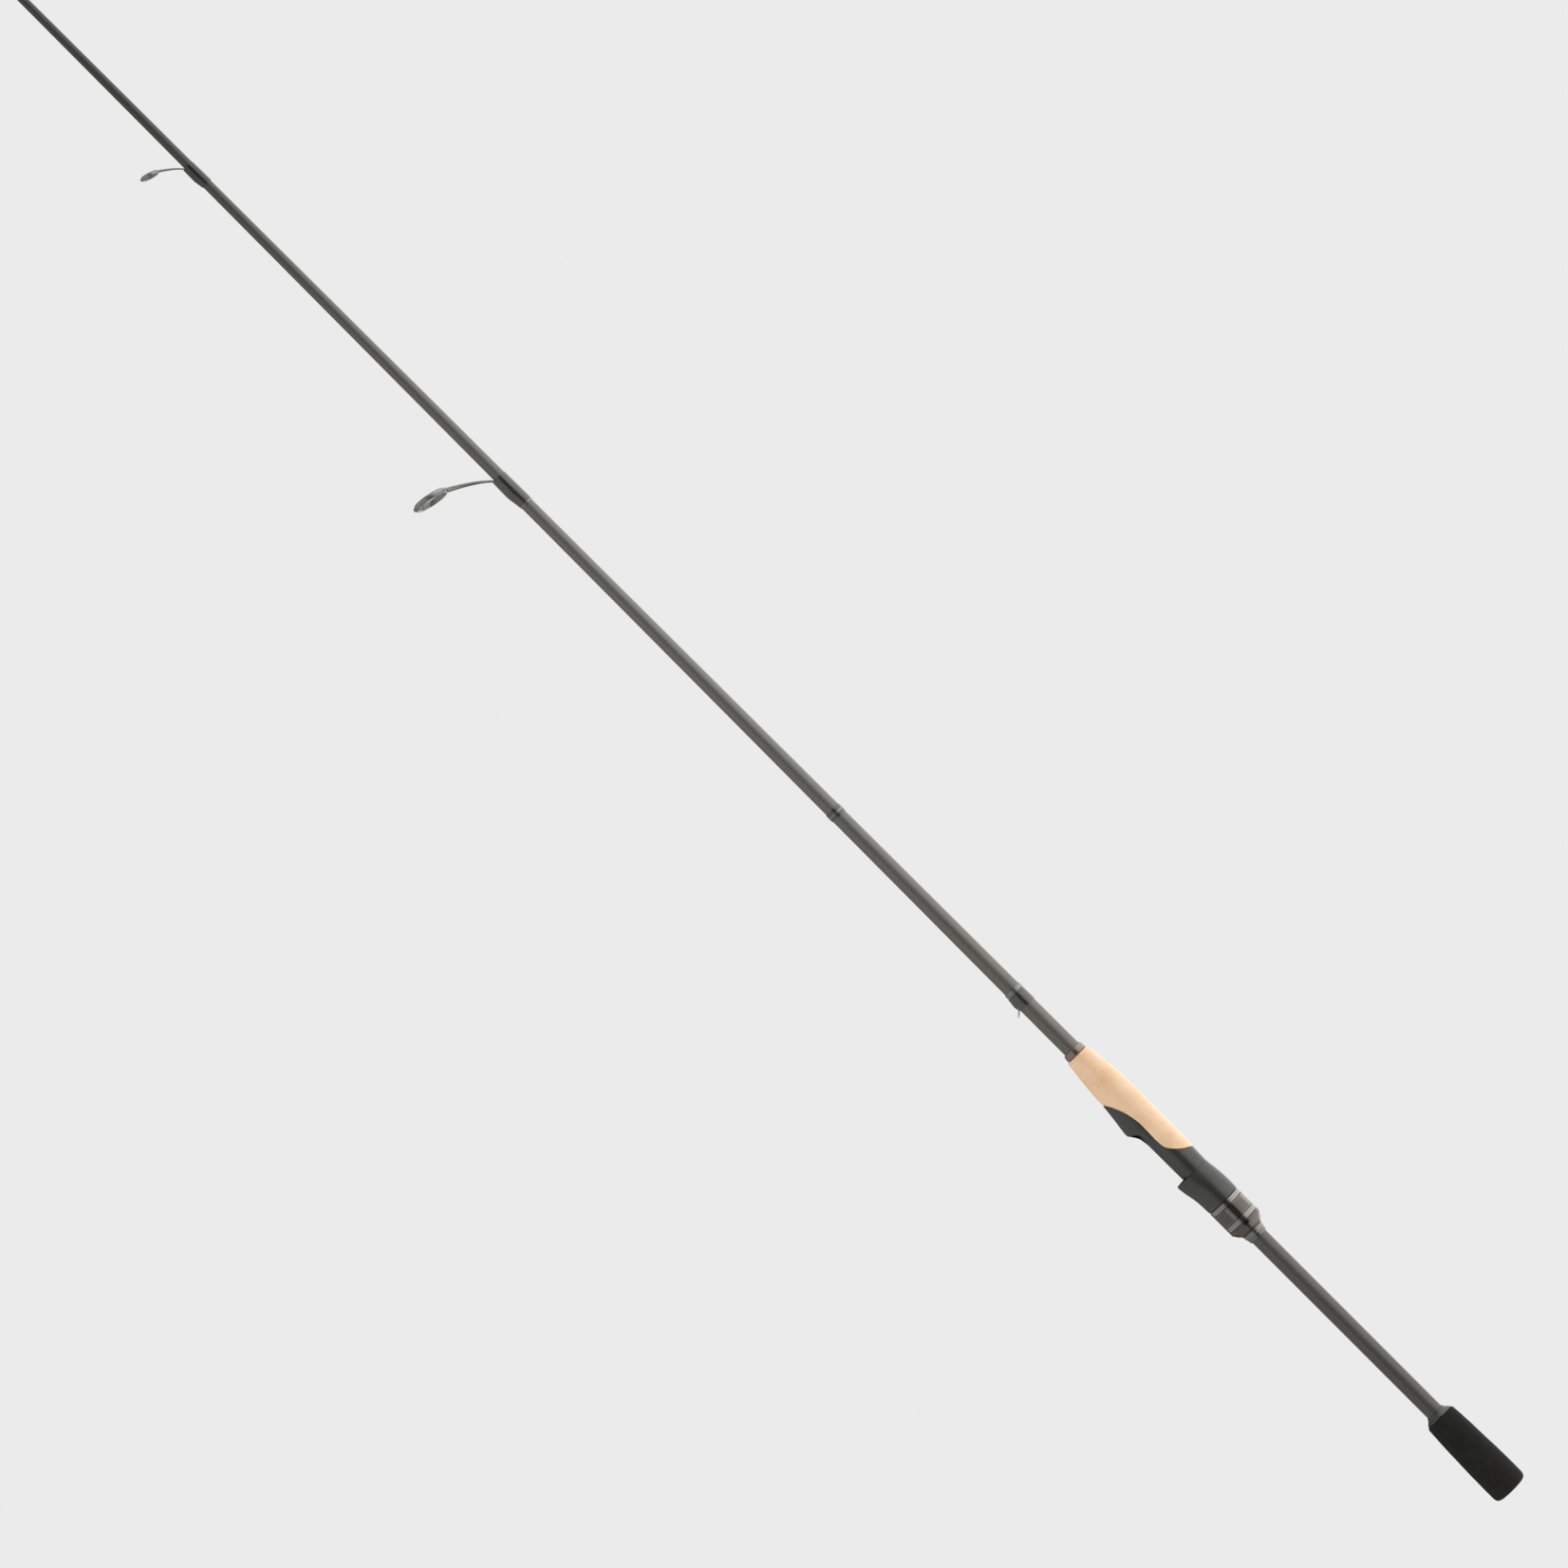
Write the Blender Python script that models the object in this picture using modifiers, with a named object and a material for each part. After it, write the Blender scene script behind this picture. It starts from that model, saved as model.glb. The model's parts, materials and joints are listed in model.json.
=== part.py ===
"""Spinning rod: a one-piece hollow blank, a split handle, a screw-locked seat, eight guides and a tip-top.

Metres. +X runs along the rod from the butt to the tip. +Y is the side of the guides and the reel's foot,
and +Z is up as the rod lies on its side. The origin is the middle of the butt's end face, on the axis.
"""

import math

import bmesh
import bpy
import numpy as np
from mathutils import Vector

# Gaps between pieces that touch on the real rod
GAP = 0.0003
FINE_GAP = 0.00015

# Blank: (distance from the butt, outside radius), and the wall at each end
BLANK_START = 0.0020
BLANK_END = 2.1290
BLANK_TAPER = (
    (BLANK_START, 0.00585),
    (0.400, 0.00590),
    (0.500, 0.00560),
    (0.700, 0.00490),
    (0.960, 0.00405),
    (1.200, 0.00315),
    (1.320, 0.00277),
    (BLANK_END, 0.00085),
)
BUTT_WALL = 0.0012
TIP_WALL = 0.0004

# Rear grip, its butt cap and the trim cone in front of it
GRIP_END = 0.0644
BUTT_RADIUS = 0.0124
CAP_RADIUS = 0.0080
CAP_THICKNESS = 0.0017
CAP_STEM_END = 0.0120
CONE_END = 0.0690

# Reel seat
END_RING_START = 0.2262
SEAT_START = 0.2325
BARREL_RADIUS = 0.0082
SEAT_BORE = 0.0069
SHOULDER_X = 0.2847
SHOULDER_RADIUS = 0.0104
CORE_END = 0.3520
SEAT_END = 0.3570
FOOT_PLANE = 0.0076  # height of the flat that the reel's foot stands on
FLAT_START = 0.2680
SOCKET_HALF_WIDTH = 0.0073
FIXED_HOOD_PEAK = 0.0144
LINER = 0.0006

# Sliding hood and lock nut
HOOD_TAIL_START = 0.2520
HOOD_START = 0.2583
HOOD_END = 0.2843
HOOD_PEAK = 0.0149
HOOD_BORE = BARREL_RADIUS + GAP
KEY_HALF_WIDTH = 0.0015
KEY_DEPTH = 0.0008
NUT_START = 0.2338
NUT_END = 0.2580
NUT_RADIUS = 0.0120
NUT_BAND_DEPTH = 0.0010
NUT_BANDS = ((0.2402, 0.2442), (0.2542, NUT_END))

# Cork foregrip
CORK_START = 0.2956
CORK_END = 0.3886
CORK_RADIUS = 0.0114
CORK_FRONT_RADIUS = 0.0080
FRONT_CHECK_END = 0.3934

# Hook keeper and the trim ring above it
KEEPER_WRAP = (0.4335, 0.4437)
KEEPER_WIRE = 0.0004
TRIM_BAND = (0.4440, 0.4470)
MID_TRIM = (0.6016, 0.6077)
MID_RING = (0.6037, 0.6052)

# Guides: ring's place along the rod, its height, outside radius, lean to the tip in degrees,
# how far the foot's end lies behind the ring, and the foot's length
LARGE_GUIDES = (
    (0.9250, 0.0420, 0.01285, 12.4, 0.0197, 0.0210),
    (1.1955, 0.0224, 0.00680, 16.5, 0.0122, 0.0150),
    (1.3950, 0.0140, 0.00450, 18.0, 0.0080, 0.0115),
)
RUNNING_GUIDE = (0.0080, 0.00330, 20.0, 0.0050, 0.0085)
RUNNING_COUNT = 5
RUNNING_START = 1.5600
RUNNING_GAP = 0.1435
RUNNING_GAP_RATIO = 0.87

# Tip-top
TIP_TUBE = (0.00135, 2.1215, 2.1300)
TIP_RING = (2.1310, 0.0042, 0.00330, 24.0)
TIP_WRAP = (2.1170, 2.1212)

PARTS = "spinning_rod"
CUTTERS = "cutters"
HANDLE_SIDES = 32
FINE_SIDES = 12
FINISHES = {
    "blank": ((0.105, 0.107, 0.092), 0.32, 0.0),
    "eva": ((0.020, 0.020, 0.017), 0.90, 0.0),
    "rubber": ((0.016, 0.016, 0.015), 0.75, 0.0),
    "seat": ((0.050, 0.053, 0.054), 0.50, 0.0),
    "nut_metal": ((0.150, 0.125, 0.112), 0.42, 1.0),
    "bright_metal": ((0.480, 0.455, 0.430), 0.30, 1.0),
    "check_metal": ((0.060, 0.035, 0.028), 0.38, 1.0),
    "cork": ((0.760, 0.560, 0.350), 0.85, 0.0),
    "thread": ((0.030, 0.030, 0.026), 0.20, 0.0),
    "guide_frame": ((0.130, 0.130, 0.125), 0.28, 1.0),
    "guide_ring": ((0.060, 0.060, 0.058), 0.12, 0.0),
    "steel": ((0.560, 0.560, 0.550), 0.25, 1.0),
    "arbor": ((0.300, 0.280, 0.220), 0.80, 0.0),
}


def clear_scene():
    for obj in list(bpy.data.objects):
        bpy.data.objects.remove(obj)
    for name in (PARTS, CUTTERS):
        collection = bpy.data.collections.new(name)
        bpy.context.scene.collection.children.link(collection)


def finish(name):
    """The material of this name, made on first use."""
    if name in bpy.data.materials:
        return bpy.data.materials[name]
    colour, roughness, metallic = FINISHES[name]
    made = bpy.data.materials.new(name)
    made.use_nodes = True
    shader = made.node_tree.nodes["Principled BSDF"]
    shader.inputs["Base Color"].default_value = (*colour, 1.0)
    shader.inputs["Roughness"].default_value = roughness
    shader.inputs["Metallic"].default_value = metallic
    return made


def add_part(name, data, material):
    obj = bpy.data.objects.new(name, data)
    bpy.data.collections[PARTS].objects.link(obj)
    data.materials.append(finish(material))
    return obj


def as_cutter(obj):
    """Moves an object to the cutters, which only shape other pieces."""
    bpy.data.collections[PARTS].objects.unlink(obj)
    bpy.data.collections[CUTTERS].objects.link(obj)
    obj.hide_render = True
    obj.display_type = "WIRE"
    return obj


def boolean(obj, other, operation):
    modifier = obj.modifiers.new(operation.lower(), "BOOLEAN")
    modifier.operation = operation
    modifier.object = as_cutter(other)
    modifier.solver = "EXACT"


def blank_radius(x):
    places, radii = zip(*BLANK_TAPER)
    return float(np.interp(x, places, radii))


def blank_bore(x):
    wall = np.interp(x, (BLANK_START, BLANK_END), (BUTT_WALL, TIP_WALL))
    return blank_radius(x) - float(wall)


def turned(name, material, outer, inner=(), sides=24, centre=(0.0, 0.0), lean=0.0):
    """A ring or solid turned about the rod's axis, or about a line leaning from it through centre.

    outer and inner hold (x, radius) from butt to tip. With no inner points the ends close on the axis.
    """
    start = outer[0][0]
    outline = list(reversed(outer)) + list(inner)
    if not inner:
        outline = [(outer[-1][0], 0.0), *outline, (start, 0.0)]
    points = [(radius, 0.0, x - start) for x, radius in outline]
    edges = [(i, i + 1) for i in range(len(points) - 1)]
    if inner:
        edges.append((len(points) - 1, 0))
    mesh = bpy.data.meshes.new(name)
    mesh.from_pydata(points, edges, [])
    obj = add_part(name, mesh, material)
    along = Vector((math.cos(lean), -math.sin(lean), 0.0))
    obj.location = Vector((centre[0], centre[1], 0.0)) + start * along
    obj.rotation_euler = (0.0, math.pi / 2, -lean)
    screw = obj.modifiers.new("turn", "SCREW")
    screw.axis = "Z"
    screw.steps = sides
    screw.render_steps = sides
    screw.use_merge_vertices = True
    screw.merge_threshold = 1e-6
    screw.use_smooth_shade = True
    return obj


def loft(name, material, rings, closed_tube=False):
    """A skin through rings of equal length, with flat ends, or joined end to end if closed_tube is set."""
    mesh = bpy.data.meshes.new(name)
    shape = bmesh.new()
    rows = [[shape.verts.new(point) for point in ring] for ring in rings]
    pairs = list(zip(rows, rows[1:]))
    if closed_tube:
        pairs.append((rows[-1], rows[0]))
    else:
        shape.faces.new(rows[0])
        shape.faces.new(rows[-1])
    for near, far in pairs:
        for i in range(len(near)):
            j = (i + 1) % len(near)
            shape.faces.new((near[i], near[j], far[j], far[i]))
    bmesh.ops.recalc_face_normals(shape, faces=shape.faces)
    shape.to_mesh(mesh)
    shape.free()
    mesh.shade_smooth()
    mesh.set_sharp_from_angle(angle=math.radians(35))
    return add_part(name, mesh, material)


def egg_ring(x, side, rise, sides):
    """A ring round the axis: a circle on the back, and an ellipse of height rise on the guide side."""
    ring = []
    for step in range(sides):
        angle = 2 * math.pi * step / sides
        reach = rise if math.cos(angle) > 0 else side
        ring.append((x, reach * math.cos(angle), side * math.sin(angle)))
    return ring


def egg_tube(name, material, stations, bore, sides):
    """A tube whose outside runs through (x, side radius, rise), with bore(x) as its radius inside."""
    rings = [egg_ring(x, side, rise, sides) for x, side, rise in stations]
    last, first = stations[-1][0], stations[0][0]
    rings.append(egg_ring(last, bore(last), bore(last), sides))
    rings.append(egg_ring(first, bore(first), bore(first), sides))
    return loft(name, material, rings, closed_tube=True)


def arch(x, half_width, floor, height, steps=12):
    """Points of a half ellipse that stands on floor, from its +Z foot over the top to its -Z foot."""
    points = []
    for step in range(steps + 1):
        angle = math.pi * step / steps
        points.append((x, floor + height * math.sin(angle), half_width * math.cos(angle)))
    return points


def quadratic(start, control, end, steps):
    """Points along a quadratic curve, both ends included."""
    points = []
    for step in range(steps + 1):
        t = step / steps
        points.append((1 - t) ** 2 * start + 2 * t * (1 - t) * control + t**2 * end)
    return points


def smooth_line(knots, steps):
    """Points along a Catmull-Rom curve through the knots, (x, y) each."""
    padded = [2 * knots[0] - knots[1], *knots, 2 * knots[-1] - knots[-2]]
    points = []
    for a, b, c, d in zip(padded, padded[1:], padded[2:], padded[3:]):
        for step in range(steps):
            t = step / steps
            pull = (c - a) * t + (2 * a - 5 * b + 4 * c - d) * t**2 + (3 * b - a - 3 * c + d) * t**3
            points.append(b + 0.5 * pull)
    return [*points, knots[-1]]


def to_mesh(curve_object):
    """The curve object as a mesh object with its caps welded, in place of the curve."""
    graph = bpy.context.evaluated_depsgraph_get()
    mesh = bpy.data.meshes.new_from_object(curve_object.evaluated_get(graph))
    shape = bmesh.new()
    shape.from_mesh(mesh)
    bmesh.ops.remove_doubles(shape, verts=shape.verts, dist=1e-6)
    bmesh.ops.recalc_face_normals(shape, faces=shape.faces)
    shape.to_mesh(mesh)
    shape.free()
    name = curve_object.name
    made = bpy.data.objects.new(name, mesh)
    made.matrix_world = curve_object.matrix_world
    bpy.data.objects.remove(curve_object)
    made.name = name
    bpy.data.collections[PARTS].objects.link(made)
    return made


def add_curve(name, material, points, dimensions, cyclic):
    curve = bpy.data.curves.new(name, "CURVE")
    curve.dimensions = dimensions
    spline = curve.splines.new("POLY")
    spline.points.add(len(points) - 1)
    for knot, point in zip(spline.points, points):
        knot.co = (*point, 1.0)
    spline.use_cyclic_u = cyclic
    return add_part(name, curve, material)


def wire(name, material, points, radius, sides_level=0):
    """A round wire along the points."""
    obj = add_curve(name, material, points, "3D", cyclic=False)
    obj.data.bevel_depth = radius
    obj.data.bevel_resolution = sides_level
    obj.data.use_fill_caps = True
    bpy.context.view_layer.update()
    return to_mesh(obj)


def plate(name, material, outline, half_thickness):
    """A flat outline in the X-Y plane, as thick as twice half_thickness along Z."""
    flat = [(x, y, 0.0) for x, y in outline]
    obj = add_curve(name, material, flat, "2D", cyclic=True)
    obj.data.fill_mode = "BOTH"
    obj.data.extrude = half_thickness
    bpy.context.view_layer.update()
    return to_mesh(obj)


def make_blank():
    places = [x for x, _ in BLANK_TAPER]
    outer = [(x, blank_radius(x)) for x in places]
    inner = [(x, blank_bore(x)) for x in (BLANK_START, 0.5, BLANK_END)]
    turned("blank", "blank", outer, inner)


def make_rear_grip():
    corner = 0.003
    outer = [
        (0.0, BUTT_RADIUS - corner),
        (0.3 * corner, BUTT_RADIUS - 0.3 * corner),
        (corner, BUTT_RADIUS),
        (0.012, 0.0125),
        (0.022, 0.0124),
        (0.032, 0.0121),
        (0.042, 0.0118),
        (0.050, 0.0115),
        (0.058, 0.0111),
        (GRIP_END - 0.001, 0.0107),
        (GRIP_END, 0.0100),
    ]
    bore = BLANK_TAPER[0][1] + GAP
    seat_depth = CAP_THICKNESS + GAP
    inner = [
        (0.0, CAP_RADIUS + GAP),
        (seat_depth, CAP_RADIUS + GAP),
        (seat_depth, bore),
        (GRIP_END, bore),
    ]
    turned("rear_grip", "eva", outer, inner, HANDLE_SIDES)

    stem = blank_bore(BLANK_START) - GAP
    cap = [(0.0, CAP_RADIUS), (CAP_THICKNESS, CAP_RADIUS), (CAP_THICKNESS, stem), (CAP_STEM_END, 0.9 * stem)]
    turned("butt_cap", "rubber", cap)

    start = GRIP_END + GAP
    cone = [(start, 0.0094), (start + 0.0007, 0.0094), (CONE_END - 0.0012, 0.0069), (CONE_END, 0.0065)]
    turned("grip_trim_cone", "seat", cone, [(start, bore), (CONE_END, bore)])


def cork_line(shift):
    """The line in side view where the cork meets the seat, as (x, y), moved towards the cork by shift."""
    knots = (
        (0.2950, -0.0135),
        (0.2960, -0.0105),
        (0.2973, -0.0076),
        (0.2999, -0.0029),
        (0.3036, 0.0013),
        (0.3083, 0.0046),
        (0.3140, 0.0054),
        (0.3230, 0.0054),
        (0.3310, 0.0054),
        (0.3400, 0.0069),
        (0.3480, 0.0095),
        (0.3572, 0.0130),
    )
    step = Vector((shift, -shift))
    return [point + step for point in smooth_line([Vector(knot) for knot in knots], 3)]


def foot_space():
    """The room over the reel seat's flat, from the sliding hood to the fixed hood's slanted mouth."""
    high = 0.020
    return plate(
        "foot_space",
        "seat",
        [
            (FLAT_START, FOOT_PLANE),
            (0.3180, FOOT_PLANE),
            (0.3222, 0.0084),
            (0.3250, 0.0100),
            (0.3302, 0.0142),
            (0.3310, high),
            (FLAT_START, high),
        ],
        0.020,
    )


def socket(name, start, end, floor, start_height, end_height):
    """The arched tunnel inside a hood, tall at the mouth and low at its blind end."""
    rings = [
        arch(start, SOCKET_HALF_WIDTH, floor, start_height),
        arch(end, SOCKET_HALF_WIDTH, floor, end_height),
    ]
    return loft(name, "seat", rings)


def liner(name, start, end, floor, start_height, end_height):
    """A thin arched plate that lines a hood's tunnel where the reel's foot wedges in."""
    rings = []
    for x, height in ((start, start_height), (end, end_height)):
        width = SOCKET_HALF_WIDTH - 1.5 * GAP
        outside = arch(x, width, floor, height - GAP)
        inside = arch(x, width - LINER, floor, height - GAP - LINER)
        rings.append(outside + inside[::-1])
    return loft(name, "steel", rings)


def make_seat():
    peak_side = 0.0109
    stations = [
        (SEAT_START, BARREL_RADIUS, BARREL_RADIUS),
        (SHOULDER_X, BARREL_RADIUS, BARREL_RADIUS),
        (SHOULDER_X, SHOULDER_RADIUS, SHOULDER_RADIUS),
        (0.2980, 0.0108, 0.0108),
        (0.3160, peak_side, peak_side),
        (0.3200, peak_side, FIXED_HOOD_PEAK),
        (0.3322, peak_side, FIXED_HOOD_PEAK),
        (0.3360, 0.0110, 0.0139),
        (0.3420, 0.0112, 0.0130),
        (0.3500, 0.0113, 0.0120),
        (SEAT_END, CORK_RADIUS, CORK_RADIUS),
    ]
    body = loft("reel_seat", "seat", [egg_ring(*station, HANDLE_SIDES) for station in stations])

    back = [(SEAT_END + 0.01, 0.0130), (SEAT_END + 0.01, -0.0135)]
    cork_room = [(point.x, point.y) for point in cork_line(0.0)]
    boolean(body, plate("cork_room", "seat", cork_room + back, 0.020), "DIFFERENCE")

    core_start = SHOULDER_X + 0.0050
    core = turned("seat_core", "seat", [(core_start, BARREL_RADIUS), (CORE_END, BARREL_RADIUS)])
    boolean(body, core, "UNION")
    boolean(body, foot_space(), "DIFFERENCE")
    floor = FOOT_PLANE - 0.00001
    tunnel = socket("fixed_socket", 0.3180, 0.3405, floor, 0.0062, 0.0033)
    boolean(body, tunnel, "DIFFERENCE")

    groove_start = SEAT_START - 0.001
    groove_end = SHOULDER_X - GAP
    outside = -BARREL_RADIUS - 0.001
    depth = KEY_DEPTH - BARREL_RADIUS
    groove = [(groove_start, outside), (groove_end, outside), (groove_end, depth), (groove_start, depth)]
    boolean(body, plate("key_groove", "seat", groove, KEY_HALF_WIDTH), "DIFFERENCE")
    bore = [(SEAT_START - 0.001, SEAT_BORE), (SEAT_END + 0.001, SEAT_BORE)]
    boolean(body, turned("seat_bore", "seat", bore), "DIFFERENCE")

    liner("fixed_hood_liner", 0.3285, 0.3395, FOOT_PLANE + GAP, 0.0046, 0.0032)


def make_arbors():
    for name, start, end in (
        ("rear_arbor", 0.2360, 0.2480),
        ("middle_arbor", 0.2660, 0.2860),
        ("front_arbor", 0.3260, 0.3460),
    ):
        inner = blank_radius(start) + GAP
        outer = SEAT_BORE - GAP
        turned(name, "arbor", [(start, outer), (end, outer)], [(start, inner), (end, inner)])

    end_x = SEAT_START - GAP
    outer = [
        (END_RING_START, 0.0065),
        (END_RING_START + 0.0006, 0.0067),
        (0.2293, 0.0070),
        (0.2298, 0.0075),
        (0.2315, 0.0075),
        (end_x, 0.0079),
    ]
    bore = blank_radius(END_RING_START) + GAP
    turned("seat_end_ring", "nut_metal", outer, [(END_RING_START, bore), (end_x, bore)])


def make_sliding_hood():
    stations = [
        (HOOD_TAIL_START, 0.0096, 0.0096),
        (HOOD_START, 0.0096, 0.0096),
        (HOOD_START, 0.0117, 0.0117),
        (0.2588, 0.0120, 0.0120),
        (0.2680, 0.0120, 0.0124),
        (0.2728, 0.0117, 0.0131),
        (0.2776, 0.0112, 0.0141),
        (0.2815, 0.0107, 0.0147),
        (0.2836, 0.0105, HOOD_PEAK),
        (HOOD_END, SHOULDER_RADIUS, HOOD_PEAK - 0.0003),
    ]
    hood = egg_tube("sliding_hood", "seat", stations, lambda x: HOOD_BORE, HANDLE_SIDES)
    tunnel = socket("sliding_socket", 0.2700, HOOD_END + 0.001, FOOT_PLANE - 0.0003, 0.0026, 0.0061)
    boolean(hood, tunnel, "DIFFERENCE")

    key_out = -BARREL_RADIUS - 0.0006
    key_in = -BARREL_RADIUS + KEY_DEPTH - GAP
    key = plate(
        "hood_key",
        "seat",
        [
            (HOOD_START, key_out),
            (HOOD_END - 0.002, key_out),
            (HOOD_END - 0.002, key_in),
            (HOOD_START, key_in),
        ],
        KEY_HALF_WIDTH - GAP,
    )
    boolean(hood, key, "UNION")
    liner("sliding_hood_liner", 0.2735, 0.2795, FOOT_PLANE, 0.0030, 0.0043)


def make_lock_nut():
    band_floor = NUT_RADIUS - NUT_BAND_DEPTH
    (rear_start, rear_end), (front_start, _) = NUT_BANDS
    outer = [
        (NUT_START, 0.0091),
        (0.2376, 0.0118),
        (0.2382, NUT_RADIUS),
        (rear_start, NUT_RADIUS),
        (rear_start, band_floor),
        (rear_end, band_floor),
        (rear_end, NUT_RADIUS),
        (front_start, NUT_RADIUS),
        (front_start, band_floor),
        (NUT_END, band_floor),
    ]
    tail_room = 0.0096 + GAP
    thread_end = HOOD_TAIL_START - GAP
    inner = [
        (NUT_START, HOOD_BORE),
        (thread_end, HOOD_BORE),
        (thread_end, tail_room),
        (NUT_END, tail_room),
    ]
    turned("lock_nut", "nut_metal", outer, inner, HANDLE_SIDES)

    ring_bore = band_floor + FINE_GAP
    for name, (start, end) in zip(("nut_ring_rear", "nut_ring_front"), NUT_BANDS):
        near = start + FINE_GAP
        far = end - FINE_GAP
        top = NUT_RADIUS
        edge = NUT_RADIUS - 0.0003
        outer = [(near, edge), (near + 0.0003, top), (far - 0.0003, top), (far, edge)]
        turned(name, "bright_metal", outer, [(near, ring_bore), (far, ring_bore)], HANDLE_SIDES)


def make_foregrip():
    outer = [
        (CORK_START - 0.001, 0.0111),
        (0.3040, 0.0113),
        (0.3120, CORK_RADIUS),
        (0.3560, CORK_RADIUS),
        (0.3640, 0.0110),
        (0.3720, 0.0103),
        (0.3800, 0.0094),
        (CORK_END - 0.0006, 0.0083),
        (CORK_END, CORK_FRONT_RADIUS),
    ]
    room = BARREL_RADIUS + GAP
    step_x = CORE_END + GAP
    bore = blank_radius(step_x) + GAP
    inner = [(CORK_START - 0.001, room), (step_x, room), (step_x, bore), (CORK_END, bore)]
    cork = turned("cork_foregrip", "cork", outer, inner, HANDLE_SIDES)
    line = [(point.x, point.y) for point in cork_line(0.00025)]
    seat_side = line + [(SEAT_END + 0.0003, 0.020), (0.2900, 0.020), (0.2900, -0.0138)]
    boolean(cork, plate("seat_room", "cork", seat_side, 0.020), "DIFFERENCE")

    start = CORK_END + GAP
    check = [(start, 0.0072), (start + 0.0004, 0.0075), (0.3920, 0.0073), (FRONT_CHECK_END, 0.0067)]
    bore = blank_radius(start) + GAP
    turned("front_check", "check_metal", check, [(start, bore), (FRONT_CHECK_END, bore)])


def wrap_tube(name, start, end, foot_rise, cover, sides=16, gap=GAP):
    """A thread wrap on the blank that swells over a guide's foot by foot_rise on the guide side."""
    ramp = 0.12 * (end - start)
    stations = []
    for x, share in ((start, 0.35), (start + ramp, 1.0), (end - ramp, 1.0), (end, 0.6)):
        radius = blank_radius(x)
        side = radius + gap + share * cover
        lift = foot_rise if x > start else 0.0
        stations.append((x, side, side + lift))
    return egg_tube(name, "thread", stations, lambda x: blank_radius(x) + gap, sides)


def make_keeper():
    start, end = KEEPER_WRAP
    radius = blank_radius(start)
    lay = radius + GAP + KEEPER_WIRE
    spread = 0.0014
    crown = Vector((start - 0.0028, radius + 0.0050, 0.0))
    half = []
    for x, y, z in (
        (end - 0.0016, lay, spread),
        (start + 0.0030, lay, spread),
        (start + 0.0008, lay + 0.0003, spread),
        (start - 0.0010, lay + 0.0022, 1.15 * spread),
        (start - 0.0023, lay + 0.0040, 0.80 * spread),
    ):
        half.append(Vector((x, y, z)))
    other = [Vector((point.x, point.y, -point.z)) for point in reversed(half)]
    wire("hook_keeper", "steel", half + [crown] + other, KEEPER_WIRE, sides_level=2)

    rise = 2 * KEEPER_WIRE + GAP
    wrap = wrap_tube("keeper_wrap", start, end, rise, 0.0005)
    for side in (-1, 1):
        channel = bpy.data.meshes.new("keeper_channel")
        shape = bmesh.new()
        bmesh.ops.create_cube(shape, size=1.0)
        bmesh.ops.scale(shape, vec=(end - start + 0.0010, 0.0022, 0.0014), verts=shape.verts)
        centre = (0.5 * (start + end) - 0.0015, radius + 0.0003, side * spread)
        bmesh.ops.translate(shape, vec=centre, verts=shape.verts)
        shape.to_mesh(channel)
        shape.free()
        boolean(wrap, add_part("keeper_channel", channel, "thread"), "DIFFERENCE")

    for name, material, (near, far), cover in (
        ("keeper_trim_band", "bright_metal", TRIM_BAND, 0.00055),
        ("mid_trim_ring", "bright_metal", MID_RING, 0.00060),
    ):
        bore = blank_radius(near) + FINE_GAP
        top = bore + cover - FINE_GAP
        turned(name, material, [(near, top), (far, top)], [(near, bore), (far, bore)])

    near, far = MID_TRIM
    ring_near, ring_far = (MID_RING[0] - FINE_GAP, MID_RING[1] + FINE_GAP)
    radius = blank_radius(near)
    for name, start, end, start_top, end_top in (
        ("mid_wrap_rear", near, ring_near, 0.00035, 0.00055),
        ("mid_wrap_front", ring_far, far, 0.00055, 0.00035),
    ):
        bore = radius + FINE_GAP
        outer = [(start, radius + start_top), (end, radius + end_top)]
        turned(name, "thread", outer, [(start, bore), (end, bore)])


def ring_outline(mid_radius, radial, axial, points):
    """A closed rounded outline for a guide ring, as (x, radius), running down its outer side."""
    outline = []
    for step in range(points):
        angle = 2 * math.pi * (step + 0.5) / points - math.pi / 2
        outline.append((-axial * math.sin(angle), mid_radius + radial * math.cos(angle)))
    return outline


def rounded_ring(name, material, outline, sides, centre, lean):
    """Turns a closed outline about the line through centre."""
    split = len(outline) // 2
    outer = list(reversed(outline[:split]))
    inner = outline[split:]
    return turned(name, material, outer, inner, sides, centre, lean)


def band_and_ring(name, centre, radius, lean, sides):
    """The frame's band and the ceramic ring pressed in it. Returns the band, which the legs join."""
    wall = 0.00032 + 0.045 * radius
    band_half = 0.00024 + 0.035 * radius
    inner = radius - wall
    shift = 0.4 * wall
    outer = [
        (-band_half, radius - shift),
        (-0.5 * band_half, radius),
        (0.5 * band_half, radius),
        (band_half, radius - shift),
    ]
    band = turned(
        name + "_frame",
        "guide_frame",
        outer,
        [(-band_half, inner), (band_half, inner)],
        sides,
        centre,
        lean,
    )
    ceramic = 0.5 * (0.00028 + 0.120 * radius)
    mid = inner - FINE_GAP - ceramic
    outline = ring_outline(mid, ceramic, 1.35 * band_half, points=2 * (sides // 8) + 2)
    rounded_ring(name + "_ring", "guide_ring", outline, sides, centre, lean)
    return band


def ring_sides(radius):
    """Facets round a guide ring: fewer on the small ones."""
    return 4 * round(min(8, 2.2 + 500 * radius))


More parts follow.
